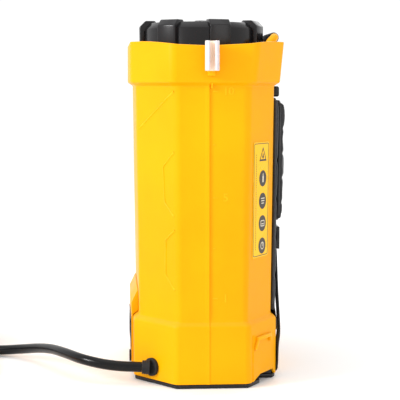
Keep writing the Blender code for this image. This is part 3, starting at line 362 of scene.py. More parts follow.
def tube(name, points, radius, resolution=5, cyclic=False, as_mesh=True):
    """A round tube through the points, in a mesh unless it is to stay a curve."""
    curve = bpy.data.curves.new(name, "CURVE")
    curve.dimensions = "3D"
    spline = curve.splines.new("POLY")
    spline.points.add(len(points) - 1)
    for slot, point in zip(spline.points, points):
        slot.co = (*point, 1.0)
    spline.use_cyclic_u = cyclic
    spline.use_smooth = True
    curve.bevel_depth = radius
    curve.bevel_resolution = resolution
    curve.use_fill_caps = not cyclic
    obj = linked(name, curve)
    if as_mesh:
        made_active(obj)
        bpy.ops.object.convert(target="MESH")
        obj = edited(bpy.context.active_object, doubles_merged(0.00001))
    return obj


def fitted(obj, name, body, material, replaces=(), moved=True):
    """Moves a piece from the neck's axis to its place, and gives it its name, body and finish."""
    made_active(obj)
    if moved:
        obj.data.transform(Matrix.Translation(NECK))
    obj.name = name
    obj.data.name = name
    obj.data.materials.clear()
    obj.data.materials.append(material)
    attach(obj, body)
    if replaces:
        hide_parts(*replaces)
    bpy.ops.object.select_all(action="DESELECT")
    return obj


def smoothed(obj, angle=35):
    made_active(obj)
    bpy.ops.object.shade_smooth_by_angle(angle=radians(angle))
    return obj


def bevelled(obj, width, segments=3, angle=30):
    made_active(obj)
    bevel = obj.modifiers.new("edges", "BEVEL")
    bevel.width = width
    bevel.segments = segments
    bevel.limit_method = "ANGLE"
    bevel.angle_limit = radians(angle)
    bevel.harden_normals = False
    bpy.ops.object.modifier_apply(modifier="edges")
    return obj


# the plans of the skirt, the body and the collar, which the hose's exit on the skirt needs too
WALL = 0.003
HALF_WIDTH = 0.150
FRONT = 0.0816
BACK = 0.0774
TAPER = 0.003
CORNER_X = 0.055
FRONT_CORNER_Y = 0.0426
BACK_CORNER_Y = 0.0344
SKIRT_FOOT = 0.0051
SKIRT_TOP = 0.0706
BODY_FOOT_Z = 0.0755
BODY_TOP = 0.339
UNDERCUT = 0.004


def plan(half_width, front, back, grow=0.0):
    """The four right-hand corners of a section seen from above, from the front face to the back face."""
    half_face = half_width - CORNER_X - grow
    return [Vector(corner) for corner in ((half_face, -front),
                                          (half_width, -front + FRONT_CORNER_Y + grow),
                                          (half_width, back - BACK_CORNER_Y - grow),
                                          (half_face, back))]


SKIRT = plan(HALF_WIDTH + 0.003, FRONT - TAPER + 0.0064, BACK - TAPER + 0.0064, 0.003)
BODY_FOOT = plan(HALF_WIDTH, FRONT - TAPER, BACK - TAPER)
BODY_HEAD = plan(HALF_WIDTH, FRONT, BACK)
COLLAR = plan(HALF_WIDTH + 0.006, FRONT + 0.0062, BACK + 0.0062, 0.0015)
RIM = plan(HALF_WIDTH + 0.006, FRONT + 0.0062, BACK + 0.0107, 0.0015)


def wall_frame(foot, head, foot_z, head_z, first, along, height):
    """A point on a wall, the directions along and up it, and its outward normal."""
    share = (height - foot_z) / (head_z - foot_z)
    starts = foot[first].lerp(head[first], share)
    ends = foot[first + 1].lerp(head[first + 1], share)
    point = Vector((*starts.lerp(ends, along), height))
    sideways = Vector((*(ends - starts), 0)).normalized()
    low = foot[first].lerp(foot[first + 1], along)
    high = head[first].lerp(head[first + 1], along)
    rise = Vector((*(high - low), head_z - foot_z)).normalized()
    normal = sideways.cross(rise).normalized()
    return point, sideways, normal.cross(sideways), normal


def on_skirt(first, along, height):
    return wall_frame(SKIRT, SKIRT, 0, SKIRT_TOP, first, along, height)


def on_body(first, along, height):
    return wall_frame(BODY_FOOT, BODY_HEAD, BODY_FOOT_Z, BODY_TOP, first, along, height)


GROMMET_ALONG = 0.4655
GROMMET_POINT, _, _, GROMMET_NORMAL = on_skirt(0, GROMMET_ALONG, GROMMET_HEIGHT)
HOSE_START = GROMMET_POINT + GROMMET_NORMAL * 0.006 + HOSE_HEADING * 0.008
FLOOR_HOSE_Z = HOSE_RADIUS + HOSE_GAP


def coil_points():
    """The turns, clockwise from above, each lying on the one before."""
    count = round(COIL_TURNS * COIL_STEPS)
    points = []
    for step in range(count + 1):
        turn = step / COIL_STEPS
        spot = COIL_CENTRE + COIL_RADIUS * Vector((cos(-tau * turn), sin(-tau * turn)))
        points.append(Vector((*spot, FLOOR_HOSE_Z + COIL_PITCH * turn)))
    return points


def hose_points():
    high = FLOOR_HOSE_Z + COIL_TURNS * COIL_PITCH
    lead = [HOSE_START, HOSE_START + HOSE_HEADING * 0.012, HOSE_START + HOSE_HEADING * 0.024,
            (0.1190, -0.1205, 0.0232), (0.1050, -0.1440, 0.0262), (0.0750, -0.1640, 0.0272),
            (0.0400, -0.1810, 0.0250), (0.0060, -0.1990, 0.0198), (-0.0240, -0.2210, 0.0130),
            (-0.0450, -0.2480, 0.0078), (-0.0560, -0.2800, FLOOR_HOSE_Z),
            (-0.0598, -0.3160, FLOOR_HOSE_Z)]
    tail = [(-0.0884, TRIGGER_AXIS_Y, high), (-0.0584, TRIGGER_AXIS_Y, high - 0.002),
            (-0.030, TRIGGER_AXIS_Y, 0.0200), (-0.011, TRIGGER_AXIS_Y, TRIGGER_AXIS_Z + 0.0012),
            (0.003, TRIGGER_AXIS_Y, TRIGGER_AXIS_Z),
            (NUT_START - 2 * HOSE_GAP, TRIGGER_AXIS_Y, TRIGGER_AXIS_Z)]
    return [point + NECK for point in smooth_line(lead + coil_points() + tail, 0.007)]


black_hose = moulded("hose_rubber", (0.002, 0.002, 0.0023), (0.005, 0.005, 0.0055), 0.22, grain=0.10,
                     dusty=(0.012, 0.0115, 0.011), grain_size=1300.0, Specular_IOR_Level=0.20)
hose_line = hose_points()
hose = tube("hose_run", hose_line, HOSE_RADIUS, resolution=6, as_mesh=False)
fitted(hose, "hose_run", "body", black_hose, ("hose", "hose_coil", "hose_tail"),
       moved=False)


# The tie: a black hook-and-loop strip round the two turns of the coil, at the coil's far side. Its
# corners are rounded to the hose, and its outside has a fine weave.
TIE_WIDTH = 0.012
TIE_THICK = 0.0011
TIE_SLACK = 0.0008
TIE_ANGLE = radians(200)
TIE_TURN = 0.44
TIE_STEPS = 40


def tie_loop():
    """A flat band with rounded corners round a stack of two turns."""
    half = Vector((HOSE_RADIUS + TIE_SLACK, (2 * HOSE_RADIUS + COIL_PITCH) / 2 + TIE_SLACK))
    centre_z = FLOOR_HOSE_Z + COIL_PITCH * TIE_TURN + COIL_PITCH / 2
    out = Vector((cos(TIE_ANGLE), sin(TIE_ANGLE), 0))
    middle = Vector((*COIL_CENTRE, centre_z)) + out * COIL_RADIUS
    along = out.cross(Vector((0, 0, 1)))
    corner_radius = HOSE_RADIUS
    loop = []
    for step in range(TIE_STEPS):
        angle = tau * step / TIE_STEPS
        flat = Vector((cos(angle), sin(angle)))
        centre = Vector(((half.x - corner_radius) * (1 if flat.x > 0 else -1),
                         (half.y - corner_radius) * (1 if flat.y > 0 else -1)))
        loop.append(centre + flat * corner_radius)
    form = bmesh.new()
    rows = []
    for side in (-0.5, 0.5):
        rows.append([form.verts.new(middle + out * p.x + Vector((0, 0, p.y)) + along * side * TIE_WIDTH)
                     for p in loop])
    for i in range(len(loop)):
        following = (i + 1) % len(loop)
        form.faces.new((rows[0][i], rows[0][following], rows[1][following], rows[1][i]))
    bmesh.ops.recalc_face_normals(form, faces=form.faces)
    return smoothed(bevelled(walled(from_form("tie", form), TIE_THICK, 1), 0.0003, segments=2))


def weave_group():
    """Threads that cross at right angles: their height, and a mask of the gaps between them."""
    group, given, out = new_group("weave", {"Threads": 900.0}, ("Height", "Gap"))
    place = group.nodes.new("ShaderNodeTexCoord")
    bands = []
    for direction in ("X", "Z"):
        band = add_node(group, "ShaderNodeTexWave", {"Distortion": 0.4, "Detail": 1.0},
                        wave_type="BANDS", bands_direction=direction)
        group.links.new(place.outputs["Object"], band.inputs["Vector"])
        group.links.new(given.outputs["Threads"], band.inputs["Scale"])
        bands.append(band)
    height = add_node(group, "ShaderNodeMath", operation="MAXIMUM")
    gap = add_node(group, "ShaderNodeMapRange", {"From Min": 0.45, "From Max": 0.1})
    for number, band in enumerate(bands):
        group.links.new(band.outputs["Fac"], height.inputs[number])
    group.links.new(height.outputs["Value"], out.inputs["Height"])
    group.links.new(height.outputs["Value"], gap.inputs["Value"])
    group.links.new(gap.outputs["Result"], out.inputs["Gap"])
    return group


WEAVE = weave_group()


def woven(name, thread, gap, roughness, threads, strength=0.6, **sockets):
    """A woven or knitted fabric with lighter threads, dark gaps and a little dust."""
    made, tree, shader = new_material(name, roughness, **sockets)
    weave = grouped(tree, WEAVE, Threads=threads)
    mottle = grouped(tree, MOTTLE, Grain_Size=400.0, Cloud_Size=22.0)
    paler = tuple(1.7 * part for part in thread)
    lit = blended(tree, ranged(tree, mottle.outputs["Cloud"], 0, 1), thread, paler)
    colour = blended(tree, weave.outputs["Gap"], lit, gap)
    dust = grouped(tree, DUST, Amount=0.25)
    colour = blended(tree, dust.outputs["Dust"], colour, (0.08, 0.075, 0.07))
    tree.links.new(colour, shader.inputs["Base Color"])
    tree.links.new(ranged(tree, mottle.outputs["Grain"], roughness * 0.85, min(1.0, roughness * 1.1)),
                   shader.inputs["Roughness"])
    bumped(tree, shader, weave.outputs["Height"], strength, 0.0004)
    return made


web_fabric = woven("strap_webbing", (0.014, 0.014, 0.015), (0.004, 0.004, 0.004), 0.75, 420.0,
                   Sheen_Weight=0.15, Sheen_Roughness=0.5)
fitted(tie_loop(), "hose_tie", "body", web_fabric)


# The tank: one blow moulding in yellow polyethylene, 3 mm thick. The skirt round the pump space carries
# the body on a sloped ledge, and above the body a collar holds a basin round the filling neck.
# The mould's halves met along the middle of each side, which left a ridge there.
COLLAR_TOP = 0.3836
COLLAR_RISE = 0.0054
BASIN_FLOOR = 0.352
BODY_RADIUS = 0.014
SKIRT_RADIUS = 0.010
NECK_RADIUS = 0.064
NECK_BORE = 0.060
NECK_TOP = 0.398
HAND_NOTCH_FLOOR = 0.369
RIDGE = ((-0.0075, 0), (-0.0050, 0.55), (-0.0030, 1), (-0.0014, 0.95), (-0.0007, -0.1), (0.0030, 0))
GROOVE = ((0.02, 0), (0.04, -1), (0.085, -1), (0.105, 0), (0.385, 0), (0.405, 0), (0.65, 0), (0.905, 0),
          (0.925, 0))
RIDGE_OUT = 0.0017
FOOT_NOTCH = (0.395, 0.915)
FOOT_NOTCH_TOP = 0.0112
SKIRT_RIDGE = 0.45
GROOVE_DEPTH = 0.0012
NOTCH_RAMP = (0.050, 0.044)


def corner_arc(corners, index, radius, steps=7):
    here = corners[index]
    mirrored = Vector((-1, 1))
    before = (corners[index - 1] if index else corners[0] * mirrored) - here
    after = (corners[index + 1] if index < 3 else corners[3] * mirrored) - here
    before.normalize()
    after.normalize()
    half = before.angle(after) / 2
    centre = here + (before + after).normalized() * radius / sin(half)
    start = here + before * radius / tan(half) - centre
    sweep = pi - 2 * half
    return [centre + Matrix.Rotation(sweep * step / steps, 2) @ start for step in range(steps + 1)]


def moved_in(corners, distance):
    """The corners with every wall moved inwards."""
    mirrored = Vector((-1, 1))
    moved = []
    for index, here in enumerate(corners):
        before = ((corners[index - 1] if index else corners[0] * mirrored) - here).normalized()
        after = ((corners[index + 1] if index < 3 else corners[3] * mirrored) - here).normalized()
        moved.append(here + (before + after).normalized() * distance / sin(before.angle(after) / 2))
    return moved


def outline(corners, radius, ridge=0.0, groove=0.0):
    """The section's points, counterclockwise from the middle of the front face."""
    arcs = [corner_arc(corners, index, radius) for index in range(4)]
    across = (corners[1] - corners[2]).length
    right = [Vector((0, corners[0].y)), Vector((0.03, corners[0].y))]
    right += arcs[0] + [arcs[0][-1].lerp(arcs[1][0], share) for share in (0.25, 0.5, 0.75)] + arcs[1]
    right += [Vector((corners[1].x + out * ridge * RIDGE_OUT, y)) for y, out in RIDGE] + arcs[2]
    facet = (corners[3] - corners[2]).normalized()
    outward = Vector((facet.y, -facet.x))
    start, end = arcs[2][-1], arcs[3][0]
    for share, out in GROOVE:
        right.append(start.lerp(end, share) + outward * out * groove * GROOVE_DEPTH)
    right += arcs[3] + [Vector((x, corners[3].y)) for x in NOTCH_RAMP + (0.0,)]
    return right + [Vector((-p.x, p.y)) for p in reversed(right[1:-1])]


def rim_height(x, y):
    """Level along the sides, rising to the front and back, with a hand notch in the back."""
    share = min(max((abs(y) - 0.25 * BACK) / (0.75 * BACK), 0.0), 1.0)
    height = COLLAR_TOP + COLLAR_RISE * share * share * (3 - 2 * share)
    if y > BACK and abs(x) < 0.5 * sum(NOTCH_RAMP):
        return HAND_NOTCH_FLOOR
    return height


def flat_ring(points, height):
    return [Vector((p.x, p.y, height)) for p in points]


def foot_ring(points):
    """The skirt's foot, level apart from the notches for the strap anchors in its rear facets."""
    start, end = SKIRT[2], SKIRT[3]
    facet = end - start
    ring = []
    for p in points:
        share = (Vector((abs(p.x), p.y)) - start).dot(facet) / facet.length_squared
        notched = p.y > start.y and FOOT_NOTCH[0] < share < FOOT_NOTCH[1]
        ring.append(Vector((p.x, p.y, FOOT_NOTCH_TOP if notched else SKIRT_FOOT)))
    return ring


def rim_ring(points):
    return [Vector((p.x, p.y, rim_height(p.x, p.y))) for p in points]


def round_ring(points, radius, height):
    angles = [atan2(p.y, p.x) for p in points]
    return [Vector((radius * cos(angle), radius * sin(angle), height)) for angle in angles]


def softened(rings, steps=4):
    """Replaces each ring that has a radius by a few that round its edge off."""
    made = []
    for index, (ring, radius) in enumerate(rings):
        if not radius:
            made.append(ring)
            continue
        before, after = rings[index - 1][0], rings[index + 1][0]
        for step in range(steps + 1):
            t = step / steps
            layer = []
            for a, b, c in zip(before, ring, after):
                start = b + (a - b).normalized() * min(radius, 0.45 * (a - b).length)
                end = b + (c - b).normalized() * min(radius, 0.45 * (c - b).length)
                layer.append(start.lerp(b, t).lerp(b.lerp(end, t), t))
            made.append(layer)
    return made


def drawn_up(name, rings):
    """A skin drawn from ring to ring, with its two ends closed."""
    bpy.ops.mesh.primitive_circle_add(vertices=len(rings[0]), radius=1)
    obj = bpy.context.active_object
    obj.name = name
    bpy.ops.object.mode_set(mode="EDIT")
    bpy.ops.mesh.select_all(action="SELECT")
    form = bmesh.from_edit_mesh(obj.data)
    form.verts.ensure_lookup_table()
    for vert, point in zip(form.verts, rings[0]):
        vert.co = point
    for before, ring in zip(rings, rings[1:]):
        places = {tuple(round(part, 6) for part in point): i for i, point in enumerate(before)}
        bpy.ops.mesh.extrude_edges_move()
        form = bmesh.from_edit_mesh(obj.data)
        for vert in [v for v in form.verts if v.select]:
            vert.co = ring[places[tuple(round(part, 6) for part in vert.co)]]
    bpy.ops.mesh.select_all(action="SELECT")
    bpy.ops.mesh.fill_holes(sides=0)
    bpy.ops.mesh.normals_make_consistent(inside=False)
    bpy.ops.object.mode_set(mode="OBJECT")
    return obj


def tank_rings():
    skirt_in, foot_in = moved_in(SKIRT, WALL), moved_in(BODY_FOOT, WALL)
    floor_plan = moved_in(COLLAR, 1.2 * WALL)
    body_in = outline(foot_in, SKIRT_RADIUS - WALL)
    skirt = outline(SKIRT, SKIRT_RADIUS, SKIRT_RIDGE)
    grooved = outline(SKIRT, SKIRT_RADIUS, SKIRT_RIDGE, 1.0)
    foot = outline(BODY_FOOT, SKIRT_RADIUS, 0.6)
    head = outline(BODY_HEAD, BODY_RADIUS, 1)
    low_body = [a.lerp(b, 0.03) for a, b in zip(outline(BODY_FOOT, SKIRT_RADIUS, 1), head)]
    neck_from = outline(floor_plan, BODY_RADIUS - WALL)
    rings = [
        (flat_ring(body_in, BODY_FOOT_Z + WALL), 0),
        (flat_ring(outline(moved_in(BODY_HEAD, WALL), BODY_RADIUS - WALL), BASIN_FLOOR - WALL), 0.006),
        (round_ring(neck_from, NECK_BORE, BASIN_FLOOR - WALL), 0.001),
        (round_ring(neck_from, NECK_BORE, NECK_TOP), 0.0008),
        (round_ring(neck_from, NECK_RADIUS, NECK_TOP), 0.0008),
        (round_ring(neck_from, NECK_RADIUS, BASIN_FLOOR), 0.002),
        (flat_ring(neck_from, BASIN_FLOOR), 0.003),
        (rim_ring(outline(moved_in(RIM, WALL), BODY_RADIUS - WALL)), 0.0012),
        (rim_ring(outline(RIM, BODY_RADIUS)), 0.0012),
        (flat_ring(outline(COLLAR, BODY_RADIUS), BODY_TOP + UNDERCUT), 0.0016),
        (flat_ring(head, BODY_TOP), 0.002),
        (flat_ring(low_body, BODY_FOOT_Z + 0.008), 0),
        (flat_ring(foot, BODY_FOOT_Z), 0.0012),
        (flat_ring(skirt, SKIRT_TOP), 0.0022),
        (flat_ring(skirt, 0.059), 0),
        (flat_ring(grooved, 0.0575), 0),
        (foot_ring(grooved), 0.0008),
        (foot_ring(outline(skirt_in, SKIRT_RADIUS - WALL)), 0.0008),
        (flat_ring(outline(skirt_in, SKIRT_RADIUS - WALL), SKIRT_TOP - WALL), 0.002),
        (flat_ring(body_in, BODY_FOOT_Z - WALL), 0),
    ]
    return softened(rings)


def yellow_plastic():
    """Yellow polyethylene: an orange-peel surface, paler clouds, rubbed edges and a little dust."""
    made, tree, shader = new_material("tank_yellow", 0.40, Specular_IOR_Level=0.08)
    mottle = grouped(tree, MOTTLE, Grain_Size=520.0, Cloud_Size=9.0)
    wear = grouped(tree, EDGE_WEAR, From=0.515, To=0.60)
    dust = grouped(tree, DUST, Amount=0.10)
    clouds = ranged(tree, mottle.outputs["Cloud"], 0, 1)
    colour = blended(tree, clouds, (0.81, 0.338, 0.0), (0.84, 0.372, 0.0003))
    colour = blended(tree, wear.outputs["Wear"], colour, (0.95, 0.48, 0.01))
    colour = blended(tree, dust.outputs["Dust"], colour, (0.75, 0.60, 0.35))
    tree.links.new(colour, shader.inputs["Base Color"])
    tree.links.new(ranged(tree, mottle.outputs["Cloud"], 0.34, 0.50), shader.inputs["Roughness"])
    bumped(tree, shader, mottle.outputs["Grain"], 0.10, 0.0003)
    return made


yellow = yellow_plastic()
tank = smoothed(drawn_up("tank", tank_rings()), 32)
fitted(tank, "tank_shell", "body", yellow, ("tank",))


# Low relief cut in the tank's mould: a screw thread round the neck, volume marks beside each side's
# ridge, folded lines on the front facets, a gusset under the collar, and a strap hook on the rear facets.
THREAD_TURNS = 2.5
THREAD_PITCH = 0.008
THREAD_STEPS = 40
THREAD_FADE = 12
THREAD_FOOT = 0.370
THREAD_ROOT = NECK_RADIUS - 0.0009
THREAD_OUT = 0.0010
THREAD_RADIUS = 0.0011
MARKS = ((0.333, "10"), (0.274, ""), (0.215, "5"), (0.1585, ""), (0.102, "1"))
MARK_START = 0.0025
MARK_LONG = 0.0056
MARK_SHORT = 0.0034
MARK_OUT = 0.0005
DIGIT_SIZE = 0.0125
DIGIT_START = 0.0136
FOLDS = (((0.95, 0.333), (0.09, 0.2915)),
         ((0.94, 0.266), (0.67, 0.249), (0.70, 0.2096), (0.92, 0.1944)),
         ((0.94, 0.1787), (0.71, 0.1669), (0.70, 0.1276), (0.92, 0.1113)))


def block(name, middle, size, frame=Matrix.Identity(3), width=0.0003, segments=2):
    """A bevelled block, turned to a frame of directions."""
    bpy.ops.mesh.primitive_cube_add(size=1)
    obj = bpy.context.active_object
    obj.name = name
    obj.data.transform(Matrix.Diagonal((*size, 1)))
    if width:
        bevelled(obj, width, segments)
    obj.data.transform(Matrix.Translation(middle) @ frame.to_4x4())
    return obj


def joined(pieces):
    made_active(pieces[0])
    for piece in pieces:
        piece.select_set(True)
    bpy.ops.object.join()
    return bpy.context.active_object


def mirrored_copy(obj):
    """A copy on the tank's other side, turned the right way out."""
    twin = linked(obj.name, obj.data.copy())
    twin.data.transform(Matrix.Diagonal((-1, 1, 1, 1)))
    return edited(twin, bpy.ops.mesh.flip_normals)


def lettering(words, size, depth, frame, middle, align="LEFT"):
    """Raised figures on a wall."""
    bpy.ops.object.text_add()
    obj = bpy.context.active_object
    obj.data.body = words
    obj.data.size = size
    obj.data.extrude = depth
    obj.data.offset = 0.0002
    obj.data.resolution_u = 4
    obj.data.align_x = align
    obj.data.align_y = "CENTER"
    made_active(obj)
    bpy.ops.object.convert(target="MESH")
    obj = bpy.context.active_object
    obj.data.transform(Matrix.Translation(middle) @ frame.to_4x4())
    return obj


def volume_marks(side):
    """The ticks and figures, read from their own side of the tank."""
    frame_here = Matrix(((0, side, 0), (0, 0, 1), (side, 0, 0))).transposed()
    wall_x = side * HALF_WIDTH
    pieces = []
    for height, figures in MARKS:
        length = MARK_LONG if figures else MARK_SHORT
        middle = Vector((wall_x, side * (MARK_START + length / 2), height))
        pieces.append(block("mark", middle, (length, 0.0011, 2 * MARK_OUT), frame_here, 0.0002, 1))
        if figures:
            place = Vector((wall_x, side * DIGIT_START, height))
            pieces.append(lettering(figures, DIGIT_SIZE, 0.8 * MARK_OUT, frame_here, place))
    return joined(pieces)


def folds():
    lines = []
    for fold in FOLDS:
        knots = [on_body(0, along, height)[0] for along, height in fold]
        points = []
        for before, after in zip(knots, knots[1:]):
            points += [before.lerp(after, step / 6) for step in range(6)]
        points.append(knots[-1])
        normal = on_body(0, 0.5, 0.2)[3]
        lines.append(tube("fold", [point - normal * 0.0004 for point in points], 0.0013, resolution=3))
    return joined(lines)


def hook():
    """The strap hook on the skirt's rear facet: a bar on a slanted leg."""
    point, along, rise, normal = on_skirt(2, 0.50, 0.0535)
    frame_here = Matrix((along, rise, normal)).transposed()
    bar = block("hook_bar", point + normal * 0.0016, (0.036, 0.0046, 0.0040), frame_here, 0.0012)
    foot, _, _, _ = on_skirt(2, 0.24, 0.0475)
    slant = Matrix.Rotation(radians(58), 3, normal)
    leg = block("hook_leg", foot + normal * 0.0014, (0.014, 0.0040, 0.0034), slant @ frame_here, 0.0010)
    end, _, _, _ = on_skirt(2, 0.74, 0.0500)
    nib = block("hook_nib", end + normal * 0.0014, (0.0045, 0.0075, 0.0034), frame_here, 0.0010)
    return joined([bar, leg, nib])


def gusset():
    """A small web under the collar, beside the ridge."""
    middle = Vector((HALF_WIDTH + 0.002, 0.0013, BODY_TOP + 0.0012))
    return block("gusset", middle, (0.0055, 0.0018, 0.0075), width=0.0006)


relief = [volume_marks(1), volume_marks(-1)]
for piece in (folds(), hook(), gusset()):
    relief += [piece, mirrored_copy(piece)]
fitted(smoothed(joined(relief)), "tank_relief", "body", yellow)



def thread_line():
    """The neck's thread, which runs out into the wall at both ends."""
    count = round(THREAD_TURNS * THREAD_STEPS)
    points = []
    for step in range(count + 1):
        turn = step / THREAD_STEPS
        reach = THREAD_ROOT + THREAD_OUT * min(1, step / THREAD_FADE, (count - step) / THREAD_FADE)
        points.append((reach * cos(tau * turn), reach * sin(tau * turn), THREAD_FOOT + THREAD_PITCH * turn))
    return points


thread = tube("thread", thread_line(), THREAD_RADIUS, resolution=3)
fitted(smoothed(thread), "neck_thread", "body", yellow)


# The lance clip: a spring clip of white nylon, open to the side, slid on the collar's lug.
# The light that shows through its thin back is painted into its colour as a warm glow in the channel, between its
# bright edges.
CLIP_X = 0.17215
CLIP_RADIUS = 0.0064
CLIP_THICK = 0.0029
CLIP_FOOT = 0.3555
CLIP_HEIGHT = 0.0325
CLIP_MOUTH = radians(62)
CLIP_FLARE = 0.0006
# the reach of the painted warm glow either side of the clip's middle
CLIP_GLOW_RAMP = 0.0035
LUG_WIDTH = 0.0075


def lance_clip():
    """An open ring of wall, drawn up and thickened."""
    steps = 28
    bpy.ops.mesh.primitive_circle_add(vertices=steps + 1, radius=CLIP_RADIUS)
    obj = bpy.context.active_object
    form = bmesh.new()
    form.from_mesh(obj.data)
    form.verts.ensure_lookup_table()
    for step, vert in enumerate(form.verts):
        angle = CLIP_MOUTH / 2 + (tau - CLIP_MOUTH) * step / steps
        radius = CLIP_RADIUS + CLIP_FLARE * abs(2 * step / steps - 1) ** 12
        vert.co = (radius * cos(angle) + CLIP_X, radius * sin(angle), CLIP_FOOT)
    closing = [edge for edge in form.edges if {vert.index for vert in edge.verts} == {0, steps}]
    bmesh.ops.delete(form, geom=closing, context="EDGES")
    form.to_mesh(obj.data)
    form.free()
    edited(obj, drawn_out(z=CLIP_HEIGHT), faces_out)
    return smoothed(bevelled(walled(obj, CLIP_THICK, 0), 0.0006, 2, 50), 40)


def clip_nylon():
    """White nylon with a painted warm glow towards the clip's thin back, which stands for light coming through
    it.
    """
    made, tree, shader = new_material("clip_white", 0.36, Subsurface_Weight=0.35, Subsurface_Scale=0.004,
                                      Subsurface_Radius=(1.0, 0.85, 0.7))
    mottle = grouped(tree, MOTTLE, Grain_Size=700.0, Cloud_Size=60.0)
    clouds = ranged(tree, mottle.outputs["Cloud"], 0, 1)
    colour = blended(tree, clouds, (0.60, 0.56, 0.58), (0.66, 0.62, 0.64))
    place = tree.nodes.new("ShaderNodeTexCoord")
    split = tree.nodes.new("ShaderNodeSeparateXYZ")
    tree.links.new(place.outputs["Object"], split.inputs["Vector"])
    middle = NECK.x + CLIP_X
    # painted glow: the colour turns warm towards the clip's thin back to stand for light shining through it
    painted_glow_mask = ranged(tree, split.outputs["X"], 1, 0, middle - CLIP_GLOW_RAMP, middle + CLIP_GLOW_RAMP)
    colour = blended(tree, painted_glow_mask, colour, (1.0, 0.76, 0.60))
    tree.links.new(colour, shader.inputs["Base Color"])
    tree.links.new(ranged(tree, mottle.outputs["Cloud"], 0.30, 0.44), shader.inputs["Roughness"])
    bumped(tree, shader, mottle.outputs["Grain"], 0.08)
    return made


clip_white = clip_nylon()
fitted(lance_clip(), "lance_clip_shell", "body", clip_white, ("lance_clip",))
lug = block("lug", Vector((HALF_WIDTH + 0.0105, 0, 0.3680)), (0.011, LUG_WIDTH, 0.036), width=0.0010)
fitted(smoothed(lug), "clip_lug", "body", yellow)


# The label: a printed film on the rear right facet. A thin dark line runs round it, with a filling sign
# at the top, four dark discs below, each with a plain sign for a step of use, and a row of dashes.
LABEL_FOOT = 0.145
LABEL_TOP = 0.276
LABEL_WIDTH = 0.0405
LABEL_MIDDLE = (LABEL_FOOT + LABEL_TOP) / 2
DISC_RADIUS = 0.0092
DISC_PITCH = 0.0256
SIGN_X = 0.0042
DASH_X = -0.0128
DISC_LIFT = 0.00012
PRINT_LIFT = 0.0003


def label_frame():
    point, along, rise, normal = on_body(2, 0.5, LABEL_MIDDLE)
    turn = Matrix((along, rise, normal)).transposed()
    return Matrix.Translation(point + normal * 0.00035) @ turn.to_4x4()


LABEL_FRAME = label_frame()
LABEL_HEIGHT = LABEL_TOP - LABEL_FOOT


def round_corners(width, height, radius, steps=5):
    """A rounded rectangle's outline about its middle."""
    points = []
    for number, (x, y) in enumerate(((1, 1), (-1, 1), (-1, -1), (1, -1))):
        centre = Vector((x * (width / 2 - radius), y * (height / 2 - radius)))
        for step in range(steps + 1):
            angle = pi / 2 * (number + step / steps)
            points.append(centre + radius * Vector((cos(angle), sin(angle))))
    return points


def disc(radius, steps=40):
    return [radius * Vector((cos(tau * step / steps), sin(tau * step / steps))) for step in range(steps)]


def flat_shape(outer, hole=None, middle=(0, 0), lift=0.0, thick=0.00012):
    """A thin printed shape, or a band between two outlines of equal numbers of points."""
    form = bmesh.new()
    shift = Vector(middle)
    rows = [[form.verts.new((*(p + shift), lift)) for p in outer]]
    if hole:
        rows.append([form.verts.new((*(p + shift), lift)) for p in hole])
        for i in range(len(outer)):
            following = (i + 1) % len(outer)
            form.faces.new((rows[0][i], rows[0][following], rows[1][following], rows[1][i]))
    else:
        form.faces.new(rows[0])
    bmesh.ops.recalc_face_normals(form, faces=form.faces)
    if form.faces[:][0].normal.z < 0:
        bmesh.ops.reverse_faces(form, faces=form.faces)
    return walled(from_form("print", form), thick, 1)


def on_label(pieces):
    obj = joined(pieces)
    obj.data.transform(LABEL_FRAME)
    return obj


film = on_label([flat_shape(round_corners(LABEL_WIDTH, LABEL_HEIGHT, 0.003), thick=0.00025)])
label_film = moulded("label_film", (0.92, 0.50, 0.003), (0.95, 0.54, 0.006), 0.3, grain=0.03,
                     Specular_IOR_Level=0.15)
DASHES = 42
DASH_PITCH = 0.0026
fitted(film, "label_sheet", "body", label_film, ("label",))

disc_heights = [LABEL_HEIGHT / 2 - 0.0415 - DISC_PITCH * number for number in range(4)]
arrow_y = LABEL_HEIGHT / 2 - 0.0145
triangle = [Vector(corner) for corner in ((0, 0.0088), (-0.0092, -0.0072), (0.0092, -0.0072))]
drop = [Vector((0.0022 * x, 0.0034 * y)) for x, y in ((0, 1), (-1, -0.5), (0, -1), (1, -0.5))]
dark = [flat_shape(round_corners(LABEL_WIDTH - 0.0030, LABEL_HEIGHT - 0.0030, 0.0022),
                   round_corners(LABEL_WIDTH - 0.0044, LABEL_HEIGHT - 0.0044, 0.0017), lift=PRINT_LIFT),
        flat_shape(triangle, [0.72 * corner for corner in triangle], (SIGN_X, arrow_y), PRINT_LIFT),
        flat_shape(drop, middle=(SIGN_X, arrow_y - 0.0012), lift=PRINT_LIFT)]
dark += [flat_shape(disc(DISC_RADIUS), middle=(SIGN_X, height), lift=PRINT_LIFT)
         for height in disc_heights]
dark += [flat_shape(round_corners(0.0009, 0.0016, 0.0003, 1), middle=(DASH_X, arrow_y - DASH_PITCH * number),
                    lift=PRINT_LIFT) for number in range(DASHES)]
dark_print = moulded("label_ink", (0.030, 0.022, 0.016), (0.055, 0.042, 0.030), 0.32, grain=0.05,
                     Specular_IOR_Level=0.3)
fitted(on_label(dark), "label_print", "body", dark_print)


